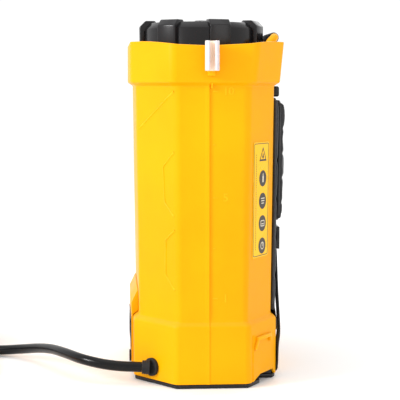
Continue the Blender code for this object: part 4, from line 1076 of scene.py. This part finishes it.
def sign(number):
    """The four signs: a bottle, a hand rinse, a tank with waves, and an open ring."""
    y = disc_heights[number]
    lift = PRINT_LIFT + 2 * DISC_LIFT
    if number == 0:
        return [flat_shape(round_corners(0.0034, 0.0078, 0.0010), middle=(SIGN_X, y - 0.0006), lift=lift),
                flat_shape(round_corners(0.0018, 0.0022, 0.0004), middle=(SIGN_X, y + 0.0046), lift=lift)]
    if number == 1:
        return [flat_shape(round_corners(0.0095 - 0.0012 * bar, 0.0012, 0.0005),
                           middle=(SIGN_X, y + 0.0030 - 0.0028 * bar), lift=lift) for bar in range(3)]
    if number == 2:
        return [flat_shape(round_corners(0.0100, 0.0070, 0.0014), round_corners(0.0080, 0.0050, 0.0008),
                           (SIGN_X, y), lift),
                flat_shape(round_corners(0.0060, 0.0011, 0.0005), middle=(SIGN_X, y - 0.0006), lift=lift)]
    return [flat_shape(disc(0.0044), disc(0.0033), (SIGN_X, y), lift),
            flat_shape(round_corners(0.0011, 0.0052, 0.0005), middle=(SIGN_X, y + 0.0016),
                       lift=lift + DISC_LIFT)]


pale_print = moulded("label_pale_ink", (0.62, 0.55, 0.42), (0.74, 0.68, 0.55), 0.3, grain=0.04)
signs = on_label([piece for number in range(4) for piece in sign(number)])
fitted(signs, "label_signs", "body", pale_print)


# The carry handle: a yellow bar bent over two posts at the back of the basin. A ribbed rubber grip is
# pushed on its middle, for the hand that carries the filled tank.
HANDLE_HALF = 0.056
HANDLE_RADIUS = 0.0048
HANDLE_Y = 0.0742
BAR_Y = 0.0838
BAR_Z = 0.3962
HANDLE_BEND = 0.014
GRIP_HALF = 0.037
GRIP_RADIUS = 0.0062
GRIP_BORE = HANDLE_RADIUS + 0.0002
GRIP_RIBS = 12
GRIP_RIB = 0.0020
GRIP_GROOVE = 0.0010
GRIP_END = 0.0040


def lathed(name, profile, steps=64):
    """A profile of (radius, height) points, spun round the upright axis."""
    mesh = bpy.data.meshes.new(name)
    mesh.from_pydata([(radius, 0, height) for radius, height in profile],
                     [(i, i + 1) for i in range(len(profile) - 1)], [])
    return edited(linked(name, mesh),
                  lambda: bpy.ops.mesh.spin(steps=steps, angle=tau, center=(0, 0, 0), axis=(0, 0, 1)),
                  doubles_merged(0.00002), faces_out)


def handle_points():
    """Up the right post, round its bend, and the same mirrored."""
    half = [(HANDLE_HALF, HANDLE_Y, BASIN_FLOOR + 0.0003), (HANDLE_HALF, HANDLE_Y, BASIN_FLOOR + 0.014),
            (HANDLE_HALF, HANDLE_Y, BAR_Z - HANDLE_BEND)]
    for step in range(1, 11):
        turn = pi / 2 * step / 10
        half.append((HANDLE_HALF - HANDLE_BEND * (1 - cos(turn)),
                     HANDLE_Y + (BAR_Y - HANDLE_Y) * sin(turn) ** 2,
                     BAR_Z - HANDLE_BEND * (1 - sin(turn))))
    return half + [(-x, y, z) for x, y, z in reversed(half)]


bar = smoothed(tube("handle", handle_points(), HANDLE_RADIUS, resolution=8))
fitted(bar, "carry_bar", "body", yellow, ("carry_handle",))


def grip_profile():
    """Wide ribs with narrow grooves between them, round a bore that fits the bar."""
    first = -GRIP_HALF + GRIP_END
    pitch = 2 * (GRIP_HALF - GRIP_END) / (GRIP_RIBS - 1)
    profile = [(GRIP_BORE, -GRIP_HALF), (GRIP_RADIUS - 0.0008, -GRIP_HALF)]
    for number in range(GRIP_RIBS):
        middle = first + number * pitch
        profile += [(GRIP_RADIUS, middle - GRIP_RIB), (GRIP_RADIUS, middle + GRIP_RIB)]
        if number < GRIP_RIBS - 1:
            profile += [(GRIP_RADIUS - GRIP_GROOVE, middle + GRIP_RIB + 0.0006),
                        (GRIP_RADIUS - GRIP_GROOVE, middle + 2 * GRIP_RIB)]
    return profile + [(GRIP_RADIUS - 0.0008, GRIP_HALF), (GRIP_BORE, GRIP_HALF), (GRIP_BORE, -GRIP_HALF)]


black_rubber = moulded("black_rubber", (0.006, 0.006, 0.0065), (0.012, 0.012, 0.013), 0.58, grain=0.4,
                       dusty=(0.05, 0.048, 0.046), grain_size=1500.0, Specular_IOR_Level=0.35)
grip = lathed("grip", grip_profile(), 40)
grip.data.transform(Matrix.Translation((0, BAR_Y, BAR_Z)) @ Matrix.Rotation(pi / 2, 4, "Y"))
fitted(smoothed(grip), "grip_sleeve", "body", black_rubber, ("handle_grip",))


# The lid: a deep screw cap in black polypropylene with seven flat ribs for the hand, a sunk top, and a
# rubber breather valve in its middle. A sealing ring and a strainer basket sit under it on the neck.
LID_RADIUS = 0.070
LID_TOP = 0.414
LID_FOOT = 0.358
LID_WALL = 0.003
LID_CHAMFER = 0.007
LID_RIBS = 7
LID_RIB_PHASE = radians(13.8)
LID_RIB_WIDTH = 0.025
LID_RIB_DEPTH = 0.005
LID_RIB_TOP = 0.0026
VENT_RADIUS = 0.0052


def lid_shell():
    """The cap's section, from its top round its rim to the seat of the seal."""
    inner = LID_RADIUS - LID_WALL
    under = LID_TOP - LID_WALL
    seal_top = NECK_TOP + 0.0044
    edge = LID_TOP - LID_CHAMFER
    seat_out, seat_in = NECK_RADIUS - 0.0005, NECK_BORE + 0.0005
    profile = [(VENT_RADIUS, LID_TOP - 0.0004), (0.013, LID_TOP - 0.0004), (0.0140, LID_TOP),
               (0.040, LID_TOP), (0.0412, LID_TOP - 0.0010), (0.0438, LID_TOP - 0.0010),
               (0.0450, LID_TOP), (LID_RADIUS - LID_CHAMFER - 0.001, LID_TOP),
               (LID_RADIUS - LID_CHAMFER + 0.001, LID_TOP - 0.0006),
               (LID_RADIUS - 0.0008, edge + 0.0006), (LID_RADIUS, edge - 0.001),
               (LID_RADIUS, LID_FOOT + 0.0060), (LID_RADIUS + 0.0014, LID_FOOT + 0.0050),
               (LID_RADIUS + 0.0014, LID_FOOT + 0.0006), (LID_RADIUS + 0.0008, LID_FOOT),
               (inner + 0.0004, LID_FOOT), (inner, LID_FOOT + 0.0006), (inner, under - LID_WALL),
               (seat_out, under - LID_WALL), (seat_out, seal_top), (seat_in, seal_top),
               (seat_in, under), (VENT_RADIUS, under), (VENT_RADIUS, LID_TOP - 0.0004)]
    return lathed("lid", profile, 112)


def lid_rib(angle):
    """One rib: a flat bar up the lid's side that bends over its edge."""
    inside = LID_RADIUS - LID_WALL / 2
    outside = LID_RADIUS + LID_RIB_DEPTH
    top = LID_TOP + LID_RIB_TOP
    start = LID_RADIUS - 2.2 * LID_CHAMFER
    section = [(inside, LID_FOOT + 0.002), (outside - 0.0006, LID_FOOT + 0.002), (outside, top - LID_CHAMFER),
               (outside - LID_CHAMFER, top), (start + 0.002, top), (start, LID_TOP - 0.0004),
               (inside, LID_TOP - LID_CHAMFER - LID_WALL)]
    bpy.ops.mesh.primitive_circle_add(vertices=len(section), radius=1, fill_type="NGON")
    obj = bpy.context.active_object
    for vert, (x, z) in zip(obj.data.vertices, section):
        vert.co = (x, -LID_RIB_WIDTH / 2, z)
    edited(obj, drawn_out(y=LID_RIB_WIDTH), faces_out)
    bevelled(obj, 0.0013, 3, 20)
    obj.data.transform(Matrix.Rotation(angle, 4, "Z"))
    return obj


black_plastic = moulded("black_plastic", (0.004, 0.0036, 0.004), (0.009, 0.0085, 0.0095), 0.20, grain=0.14,
                        worn=(0.045, 0.044, 0.047), dusty=(0.025, 0.024, 0.023), grain_size=1100.0,
                        Specular_IOR_Level=0.28)
rib_angles = [LID_RIB_PHASE + tau * number / LID_RIBS for number in range(LID_RIBS)]
lid = joined([lid_shell()] + [lid_rib(angle) for angle in rib_angles])
fitted(smoothed(lid), "lid_cap", "lid", black_plastic, ("lid",))

VALVE_PROFILE = ((0, 0.0036), (0.0030, 0.0036), (0.0034, 0.0026), (0.0052, 0.0026), (0.0056, 0.0036),
                 (0.0074, 0.0035), (0.0082, 0.0030), (0.0085, 0.0022), (0.0085, 0.0003),
                 (0.0049, 0.0003), (0.0049, -0.0074), (0.0043, -0.0080), (0, -0.0080))
valve = lathed("valve", VALVE_PROFILE, 48)
valve.data.transform(Matrix.Translation((0, 0, LID_TOP)))
fitted(smoothed(valve), "valve_button", "lid", black_rubber, ("breather_valve",))


def carried_over(material, *nodes):
    """Gives a better finish to CAD pieces whose shape is right."""
    for node in nodes:
        for slot_here in frame["nodes"][node].material_slots:
            slot_here.material = material


carried_over(black_rubber, "lid_seal")
carried_over(clip_white, "strainer")


# The control housing: a yellow cover screwed over the pump space, with a sunk black panel for the
# switch, the charge lens and the pressure knob. The charge socket below has a tethered rubber cap.
def reworked(node, width, segments=2, angle=25):
    """A copy of a CAD piece with its flat faces made whole and its edges rounded."""
    obj = linked(node + "_shell", frame["nodes"][node].data.copy())
    edited(obj, doubles_merged(0.00002), lambda: bpy.ops.mesh.dissolve_limited(angle_limit=radians(1.5)))
    return smoothed(bevelled(obj, width, segments, angle), 35)


def refitted(node, body, material, width=0.0006, segments=2, angle=25):
    """A reworked copy that stands for its CAD piece."""
    return fitted(reworked(node, width, segments, angle), node + "_shell", body, material, (node,),
                  moved=False)


refitted("control_housing", "body", yellow, 0.0009, 3)
for node, body, width in (("control_panel", "body", 0.0006), ("rocker_switch", "rocker", 0.0005),
                          ("pressure_knob", "knob", 0.0005), ("charge_socket", "body", 0.0003)):
    refitted(node, body, black_plastic, width)
refitted("charge_cap", "cap", black_rubber, 0.0005)
PANEL_Z = 0.045
POCKET_Y = -0.0744
FACE_Y = -0.0869
KNOB_X = 0.027
ROCKER_X = -0.026
KNOB_FLUTES = 24
DIAL_MARKS = 10
PRINT_Y = POCKET_Y - 0.00004
FACING = Matrix(((1, 0, 0), (0, 0, 1), (0, -1, 0))).transposed()


def knob_fluting():
    """Small ribs round the knob's rim, for a thumb."""
    flutes = []
    for number in range(KNOB_FLUTES):
        angle = tau * number / KNOB_FLUTES
        out = Vector((cos(angle), 0, sin(angle)))
        frame_here = Matrix((out, Vector((0, 1, 0)), out.cross(Vector((0, 1, 0))))).transposed()
        flutes.append(block("flute", Vector((KNOB_X, FACE_Y + 0.0066, PANEL_Z)) + out * 0.0095,
                            (0.0009, 0.0072, 0.0011), frame_here, 0.0002, 1))
    return joined(flutes)


fitted(smoothed(knob_fluting()), "knob_flutes", "knob", black_plastic)
white_print = moulded("panel_print", (0.70, 0.70, 0.68), (0.82, 0.82, 0.80), 0.35, grain=0.05)


def dial_marks():
    """Ticks round the knob between the figures 1 and 3, and the switch's bar and ring."""
    pieces = []
    for number in range(DIAL_MARKS):
        angle = radians(225 - 30 * number)
        out = Vector((cos(angle), 0, sin(angle)))
        frame_here = Matrix((out, Vector((0, -1, 0)), out.cross(Vector((0, -1, 0))))).transposed()
        spot = Vector((KNOB_X, PRINT_Y, PANEL_Z)) + out * 0.0118
        pieces.append(block("tick", spot, (0.0016, 0.0003, 0.0005), frame_here, 0))
    for figures, x in (("1", KNOB_X - 0.0145), ("3", KNOB_X + 0.0145)):
        spot = Vector((x, POCKET_Y - 0.0001, PANEL_Z - 0.0095))
        pieces.append(lettering(figures, 0.0042, 0.0001, FACING, spot, "CENTER"))
    bar = Vector((ROCKER_X - 0.0105, PRINT_Y, PANEL_Z + 0.0055))
    pieces.append(block("switch_on", bar, (0.0006, 0.0003, 0.0034), Matrix.Identity(3), 0))
    ring_mark = flat_shape(disc(0.0018, 24), disc(0.0013, 24))
    ring_mark.data.transform(Matrix.Translation(bar - Vector((0, 0, 0.011))) @ FACING.to_4x4())
    pieces.append(ring_mark)
    return joined(pieces)


fitted(dial_marks(), "dial_print", "body", white_print)


def lens_plastic():
    """A smoked green window with faint diffuser lines, over its lamps."""
    made, tree, shader = new_material("lens_clear", 0.12, Coat_Weight=0.6, Coat_Roughness=0.05)
    place = tree.nodes.new("ShaderNodeTexCoord")
    lines = add_node(tree, "ShaderNodeTexWave", {"Scale": 260.0, "Distortion": 0.3}, bands_direction="X")
    tree.links.new(place.outputs["Object"], lines.inputs["Vector"])
    colour = blended(tree, lines.outputs["Fac"], (0.05, 0.10, 0.07), (0.16, 0.26, 0.19))
    tree.links.new(colour, shader.inputs["Base Color"])
    bumped(tree, shader, lines.outputs["Fac"], 0.25)
    return made


lens = lens_plastic()
refitted("charge_lens", "body", lens, 0.0004)
LAMPS = 4
LAMP_PITCH = 0.0044


def lamp_dots():
    """Four charge lamps that show through the window."""
    dots = []
    for number in range(LAMPS):
        bpy.ops.mesh.primitive_uv_sphere_add(segments=20, ring_count=10, radius=0.0014)
        dot = bpy.context.active_object
        spot = (LAMP_PITCH * (number - (LAMPS - 1) / 2), POCKET_Y - 0.0018, PANEL_Z)
        dot.data.transform(Matrix.Translation(spot) @ Matrix.Diagonal((1, 0.35, 1, 1)))
        dots.append(dot)
    return joined(dots)


lamp_glass = moulded("lamp_glass", (0.05, 0.42, 0.10), (0.10, 0.60, 0.18), 0.15, grain=0.03,
                     Coat_Weight=0.5)
fitted(smoothed(lamp_dots()), "charge_lamps", "body", lamp_glass)


# The screws: four zinc-plated cross-head screws that hold the housing, sunk in its face. The same steel
# makes the motor's can and shaft and the lever's pin, and the brass is for the trigger's outlet nut.
def brushed_metal(name, deep, bright, roughness):
    """Turned metal: fine rings of scratches, slow stains, and brighter edges."""
    made, tree, shader = new_material(name, roughness, metallic=1.0)
    mottle = grouped(tree, MOTTLE, Grain_Size=2400.0, Cloud_Size=60.0)
    wear = grouped(tree, EDGE_WEAR)
    colour = blended(tree, ranged(tree, mottle.outputs["Cloud"], 0, 1), deep, bright)
    rubbed = tuple(min(1.0, 1.25 * part) for part in bright)
    colour = blended(tree, wear.outputs["Wear"], colour, rubbed)
    tree.links.new(colour, shader.inputs["Base Color"])
    scratches = ranged(tree, mottle.outputs["Grain"], roughness * 0.7, roughness * 1.4)
    tree.links.new(scratches, shader.inputs["Roughness"])
    bumped(tree, shader, mottle.outputs["Grain"], 0.15)
    return made


steel = brushed_metal("bright_steel", (0.42, 0.42, 0.43), (0.62, 0.62, 0.63), 0.30)
brass = brushed_metal("brass", (0.62, 0.42, 0.16), (0.80, 0.58, 0.26), 0.28)
carried_over(steel, "housing_screw_1", "housing_screw_2", "housing_screw_3", "housing_screw_4")


def screw_crosses():
    """The dark cross of each screw's drive."""
    bars = []
    for number in range(1, 5):
        middle = middle_of(f"housing_screw_{number}")
        middle.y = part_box(f"housing_screw_{number}")[0].y
        for size in ((0.0030, 0.0002, 0.0007), (0.0007, 0.0002, 0.0030)):
            bars.append(block("cross", middle, size, width=0))
    return joined(bars)


fitted(screw_crosses(), "screw_crosses", "body", black_plastic, moved=False)


# Under the tank: the black base plate with its feet, the lower strap anchors, and in the pump space the
# battery, the motor with its pump head, the tubes and the charge circuit.
for node, width in (("base_plate", 0.0007), ("lower_anchor_left", 0.0006), ("lower_anchor_right", 0.0006)):
    refitted(node, "body", black_plastic, width)
battery_wrap = moulded("battery_wrap", (0.012, 0.020, 0.040), (0.018, 0.030, 0.058), 0.3, grain=0.1,
                       worn=(0.10, 0.12, 0.16), Coat_Weight=0.3)
refitted("battery_pack", "body", battery_wrap, 0.0004, 1)
refitted("pump_head", "body", black_plastic, 0.0016, 3)
refitted("pump_motor", "body", steel, 0.0005)
refitted("motor_cradle", "body", black_rubber, 0.0012, 3)
refitted("outlet_fitting", "body", black_plastic, 0.0004)
carried_over(steel, "motor_shaft", "lever_pin")


def board_lacquer():
    """Green lacquer with copper tracks that show as paler lines."""
    made, tree, shader = new_material("circuit_green", 0.35, Coat_Weight=0.3)
    place = tree.nodes.new("ShaderNodeTexCoord")
    tracks = add_node(tree, "ShaderNodeTexBrick", {"Scale": 160.0, "Mortar Size": 0.06})
    tree.links.new(place.outputs["Object"], tracks.inputs["Vector"])
    colour = blended(tree, tracks.outputs["Fac"], (0.012, 0.11, 0.045), (0.04, 0.24, 0.10))
    tree.links.new(colour, shader.inputs["Base Color"])
    bumped(tree, shader, tracks.outputs["Fac"], 0.3)
    return made


carried_over(board_lacquer(), "circuit_board")
tube_pvc = moulded("tube_pvc", (0.66, 0.69, 0.66), (0.78, 0.80, 0.77), 0.22, grain=0.06)
carried_over(tube_pvc, "suction_tube", "delivery_tube")


# The grommet and the trigger handle: a rubber bush with a bent boot where the hose leaves the skirt, and
# at the hose's end a yellow handle with a black lever on a steel pin, between a black nut and a brass one.
refitted("hose_grommet", "body", black_rubber, 0.0006, 3)
refitted("hose_nut", "body", black_plastic, 0.0004)
refitted("trigger_body", "body", yellow, 0.0008, 3)
refitted("trigger_lever", "lever", black_plastic, 0.0007, 3)
refitted("outlet_nut", "spout", brass, 0.0004)


def boot_rings():
    """The bellows of the grommet's boot."""
    rings = []
    turn = HOSE_HEADING.to_track_quat("Z", "Y").to_matrix().to_4x4()
    for number in range(3):
        bpy.ops.mesh.primitive_torus_add(major_radius=0.0075 - 0.0002 * number, minor_radius=0.0008,
                                         major_segments=40, minor_segments=10)
        ring = bpy.context.active_object
        spot = HOSE_START - HOSE_HEADING * (0.0055 - 0.0022 * number)
        ring.data.transform(Matrix.Translation(spot) @ turn)
        rings.append(ring)
    return joined(rings)


fitted(smoothed(boot_rings()), "boot_rings", "body", black_rubber)


def handle_bands():
    """Raised bands along the trigger handle's grip."""
    bands = []
    turn = Matrix.Rotation(pi / 2, 4, "Y")
    for number in range(9):
        bpy.ops.mesh.primitive_torus_add(major_radius=0.0122, minor_radius=0.0008, major_segments=48,
                                         minor_segments=8)
        band = bpy.context.active_object
        place = Matrix.Translation((0.050 + 0.0075 * number, TRIGGER_AXIS_Y, TRIGGER_AXIS_Z + 0.0003))
        band.data.transform(place @ turn)
        bands.append(band)
    return joined(bands)


fitted(smoothed(handle_bands()), "handle_bands", "body", yellow)


# The harness: a foam back pad and two foam shoulder pads in black spacer mesh, bound at their edges and
# quilted across. Each strap hangs from a plastic loop on the tank and runs to a ladder buckle.
PAD_HALF = 0.092
PAD_TOP = 0.325
PAD_FOOT = 0.052
PAD_THICK = 0.0066
PAD_TAIL = 0.0016
STRAP_X = 0.052
STRAP_WIDTH = 0.058
STRAP_TOP = 0.322
STRAP_FOOT = 0.182
STRAP_THICK = 0.0045
BACK_GAP = 0.0003
SKIRT_BACK = SKIRT[3].y
VOXEL = 0.0034
SWELL = 0.0045
SWELL_FRAMES = 20
BINDING_RADIUS = 0.0014


def back_wall(height):
    """The Y of the body's back face at a height."""
    share = (height - BODY_FOOT_Z) / (BODY_TOP - BODY_FOOT_Z)
    return BODY_FOOT[3].y + (BODY_HEAD[3].y - BODY_FOOT[3].y) * share


def soft_slab(name, outline_yz, low_x, high_x, inset=0.0015):
    """A plain slab cut to a side outline, a little narrower than the finished pad."""
    bpy.ops.mesh.primitive_circle_add(vertices=len(outline_yz), radius=1, fill_type="NGON")
    obj = bpy.context.active_object
    obj.name = name
    for vert, (y, z) in zip(obj.data.vertices, outline_yz):
        vert.co = (low_x + inset, y, z)
    return edited(obj, drawn_out(x=high_x - low_x - 2 * inset), faces_out)


def puffed(obj, voxel, cap, rest_y):
    """Lets the slab swell as foam in its cover does, then flattens it where it lies on something."""
    made_active(obj)
    obj.data.remesh_voxel_size = voxel
    bpy.ops.object.voxel_remesh()
    start = [vert.co.copy() for vert in obj.data.vertices]
    cloth = obj.modifiers.new("swell", "CLOTH")
    cloth.settings.use_pressure = True
    cloth.settings.uniform_pressure_force = 4
    cloth.settings.effector_weights.gravity = 0
    cloth.settings.tension_stiffness = 25
    cloth.settings.compression_stiffness = 25
    cloth.point_cache.frame_start = 1
    cloth.point_cache.frame_end = SWELL_FRAMES
    for number in range(1, SWELL_FRAMES + 1):
        bpy.context.scene.frame_set(number)
    shape = obj.evaluated_get(bpy.context.evaluated_depsgraph_get())
    swollen = [vert.co.copy() for vert in shape.data.vertices]
    obj.modifiers.remove(cloth)
    bpy.context.scene.frame_set(1)
    for vert, before, after in zip(obj.data.vertices, start, swollen):
        move = after - before
        vert.co = before + move.normalized() * min(move.length, cap)
    for vert in obj.data.vertices:
        vert.co.y = max(vert.co.y, rest_y(vert.co.z))
    return obj


def quilted(obj, seams, depth, width, face_y):
    """Presses seams, given as functions of the distance to them, into the outer face."""
    for vert in obj.data.vertices:
        if vert.co.y < face_y(vert.co.z):
            continue
        press = max(max(0.0, 1 - seam(vert.co) / width) ** 2 for seam in seams)
        vert.co.y -= depth * press
        vert.co.y += 0.0004 * noise.noise(vert.co * 90)
    made_active(obj)
    bpy.ops.object.shade_smooth()
    subdivision = obj.modifiers.new("fine", "SUBSURF")
    subdivision.levels = 1
    subdivision.render_levels = 1
    bpy.ops.object.modifier_apply(modifier="fine")
    bpy.ops.object.shade_smooth()
    return obj


def across(height):
    return lambda point: abs(point.z - height)


def upright(x):
    return lambda point: abs(point.x - x)


pad_fabric = woven("pad_fabric", (0.016, 0.016, 0.017), (0.003, 0.003, 0.003), 0.82, 260.0, 0.9,
                   Sheen_Weight=0.25, Sheen_Roughness=0.45)


def pad_face(height):
    return back_wall(height) + BACK_GAP + PAD_THICK


def back_pad():
    """The cushion, with a thin tail that hangs over the top of the skirt."""
    tail = SKIRT_BACK + BACK_GAP
    edge = 0.0012

    def behind(height):
        return back_wall(height) + BACK_GAP if height > BODY_FOOT_Z + 0.003 else tail

    outline_yz = [(behind(PAD_TOP), PAD_TOP - edge), (back_wall(BODY_FOOT_Z) + BACK_GAP, BODY_FOOT_Z + 0.0035),
                  (tail, SKIRT_TOP + 0.0025), (tail, PAD_FOOT + edge),
                  (tail + 1.5 * PAD_TAIL, PAD_FOOT + edge),
                  (pad_face(BODY_FOOT_Z) - edge, BODY_FOOT_Z + 0.012),
                  (pad_face(PAD_TOP) - edge, PAD_TOP - 0.008), (pad_face(PAD_TOP) - 2 * edge, PAD_TOP - edge)]
    obj = soft_slab("pad", outline_yz, -PAD_HALF, PAD_HALF)
    puffed(obj, VOXEL, 0.0012, behind)
    seams = [across(0.118), across(0.163), across(0.208), across(0.253), upright(-0.060), upright(0.060)]
    return quilted(obj, seams, 0.0020, 0.0050, lambda height: back_wall(height) + 0.5 * PAD_THICK)


pad = fitted(back_pad(), "back_cushion", "body", pad_fabric, ("back_pad",))


def shoulder_pad(side):
    """A shoulder pad lies folded on the back pad, with its foam bunched between the quilting seams."""
    x = side * STRAP_X
    edge = 0.0008

    def rest(height):
        return pad_face(height) + BACK_GAP

    outline_yz = [(rest(STRAP_FOOT), STRAP_FOOT + edge),
                  (rest(STRAP_FOOT) + STRAP_THICK, STRAP_FOOT + 0.003),
                  (rest(STRAP_TOP) + STRAP_THICK, STRAP_TOP - 0.004), (rest(STRAP_TOP), STRAP_TOP - edge)]
    obj = soft_slab("strap_pad", outline_yz, x - STRAP_WIDTH / 2, x + STRAP_WIDTH / 2)
    puffed(obj, 0.0024, 0.0014, rest)
    for vert in obj.data.vertices:
        lift = (vert.co.y - rest(vert.co.z)) / STRAP_THICK
        bunch = 0.5 + 0.5 * noise.noise(Vector((vert.co.x * 12, side * 3.1, vert.co.z * 38)))
        vert.co.y += SWELL * bunch * max(0.0, lift) * (1 - abs(vert.co.x - x) / STRAP_WIDTH)
    seams = [across(height) for height in (0.2035, 0.2320, 0.2600, 0.2900)]
    seams += [upright(x - 0.022), upright(x + 0.022)]
    return quilted(obj, seams, 0.0022, 0.0042, lambda height: pad_face(height) + 0.6 * STRAP_THICK)


def binding(points, name):
    """The binding sewn round a pad's edge."""
    round_edge = smoothed(tube(name, points, BINDING_RADIUS, resolution=3, cyclic=True))
    return fitted(round_edge, name, "body", web_fabric)


def binding_points(x, half, low, high, depth_at):
    corners = round_corners(2 * half, high - low, 0.012, 6)
    points = []
    for before, after in zip(corners, corners[1:] + corners[:1]):
        count = max(1, round((after - before).length / 0.012))
        points += [before.lerp(after, step / count) for step in range(count)]
    middle = (low + high) / 2
    return [(x + p.x, depth_at(middle + p.y), middle + p.y) for p in points]


for side, word in ((1, "right"), (-1, "left")):
    strap = fitted(shoulder_pad(side), f"shoulder_pad_{word}", "body", pad_fabric,
                   (f"shoulder_strap_{word}",))
    binding(binding_points(side * STRAP_X, STRAP_WIDTH / 2 - 0.001, STRAP_FOOT + 0.001, STRAP_TOP - 0.001,
                           lambda height: pad_face(height) + 0.0020), f"strap_binding_{word}")
    refitted(f"upper_anchor_{word}", "body", black_plastic, 0.0008)
    refitted(f"buckle_{word}", "body", black_plastic, 0.0008)
binding(binding_points(0, PAD_HALF - 0.001, BODY_FOOT_Z + 0.006, PAD_TOP - 0.001,
                       lambda height: back_wall(height) + 0.0024), "pad_binding")


# The webbing: 24 mm polypropylene strap that runs from under each buckle, over the pad's tail, down the
# skirt's back and into its lower anchor. It is drawn flat, with rounded edges.
WEB_WIDTH = 0.024
WEB_THICK = 0.0014
WEB_FOOT_X = 0.084
BUCKLE_X = 0.056
BUCKLE_FOOT = 0.148


def webbing_line(side):
    out = WEB_THICK / 2 + 2 * BACK_GAP
    bend = BODY_FOOT_Z + 0.024
    knots = [(BUCKLE_X, pad_face(BUCKLE_FOOT) + out + 0.0006, BUCKLE_FOOT - 0.0012),
             (BUCKLE_X, pad_face(BUCKLE_FOOT) + out + 0.0010, BUCKLE_FOOT - 0.008),
             (BUCKLE_X + 0.010, pad_face(bend) + out + 0.0020, bend),
             (WEB_FOOT_X - 0.006, SKIRT_BACK + PAD_TAIL + out + 0.0022, PAD_FOOT + 0.004),
             (WEB_FOOT_X, SKIRT_BACK + out + 0.0014, PAD_FOOT - 0.014),
             (WEB_FOOT_X, SKIRT_BACK + out + 0.0006, 0.016),
             (WEB_FOOT_X, SKIRT_BACK + out - 0.0006, 0.0085),
             (WEB_FOOT_X, SKIRT_BACK - 0.0035, 0.0070), (WEB_FOOT_X, SKIRT_BACK - 0.0054, 0.0070)]
    return smooth_line([(side * x, y, z) for x, y, z in knots], 0.004)


def ribbon(name, points, width, thick):
    """A flat strap along the points."""
    bpy.ops.mesh.primitive_plane_add(size=1)
    obj = bpy.context.active_object
    obj.name = name
    form = bmesh.new()
    shares = (-0.5, -0.44, 0, 0.44, 0.5)
    rows = [[form.verts.new(point + Vector((share * width, 0, 0))) for share in shares]
            for point in points]
    for before, after in zip(rows, rows[1:]):
        for i in range(len(shares) - 1):
            form.faces.new((before[i], before[i + 1], after[i + 1], after[i]))
    bmesh.ops.recalc_face_normals(form, faces=form.faces)
    form.to_mesh(obj.data)
    form.free()
    return smoothed(bevelled(walled(obj, thick, 0), 0.0004, 2, 50), 40)


for side, word in ((1, "right"), (-1, "left")):
    strap = ribbon(f"web_{word}", webbing_line(side), WEB_WIDTH, WEB_THICK)
    fitted(strap, f"web_strap_{word}", "body", web_fabric, (f"webbing_{word}",))
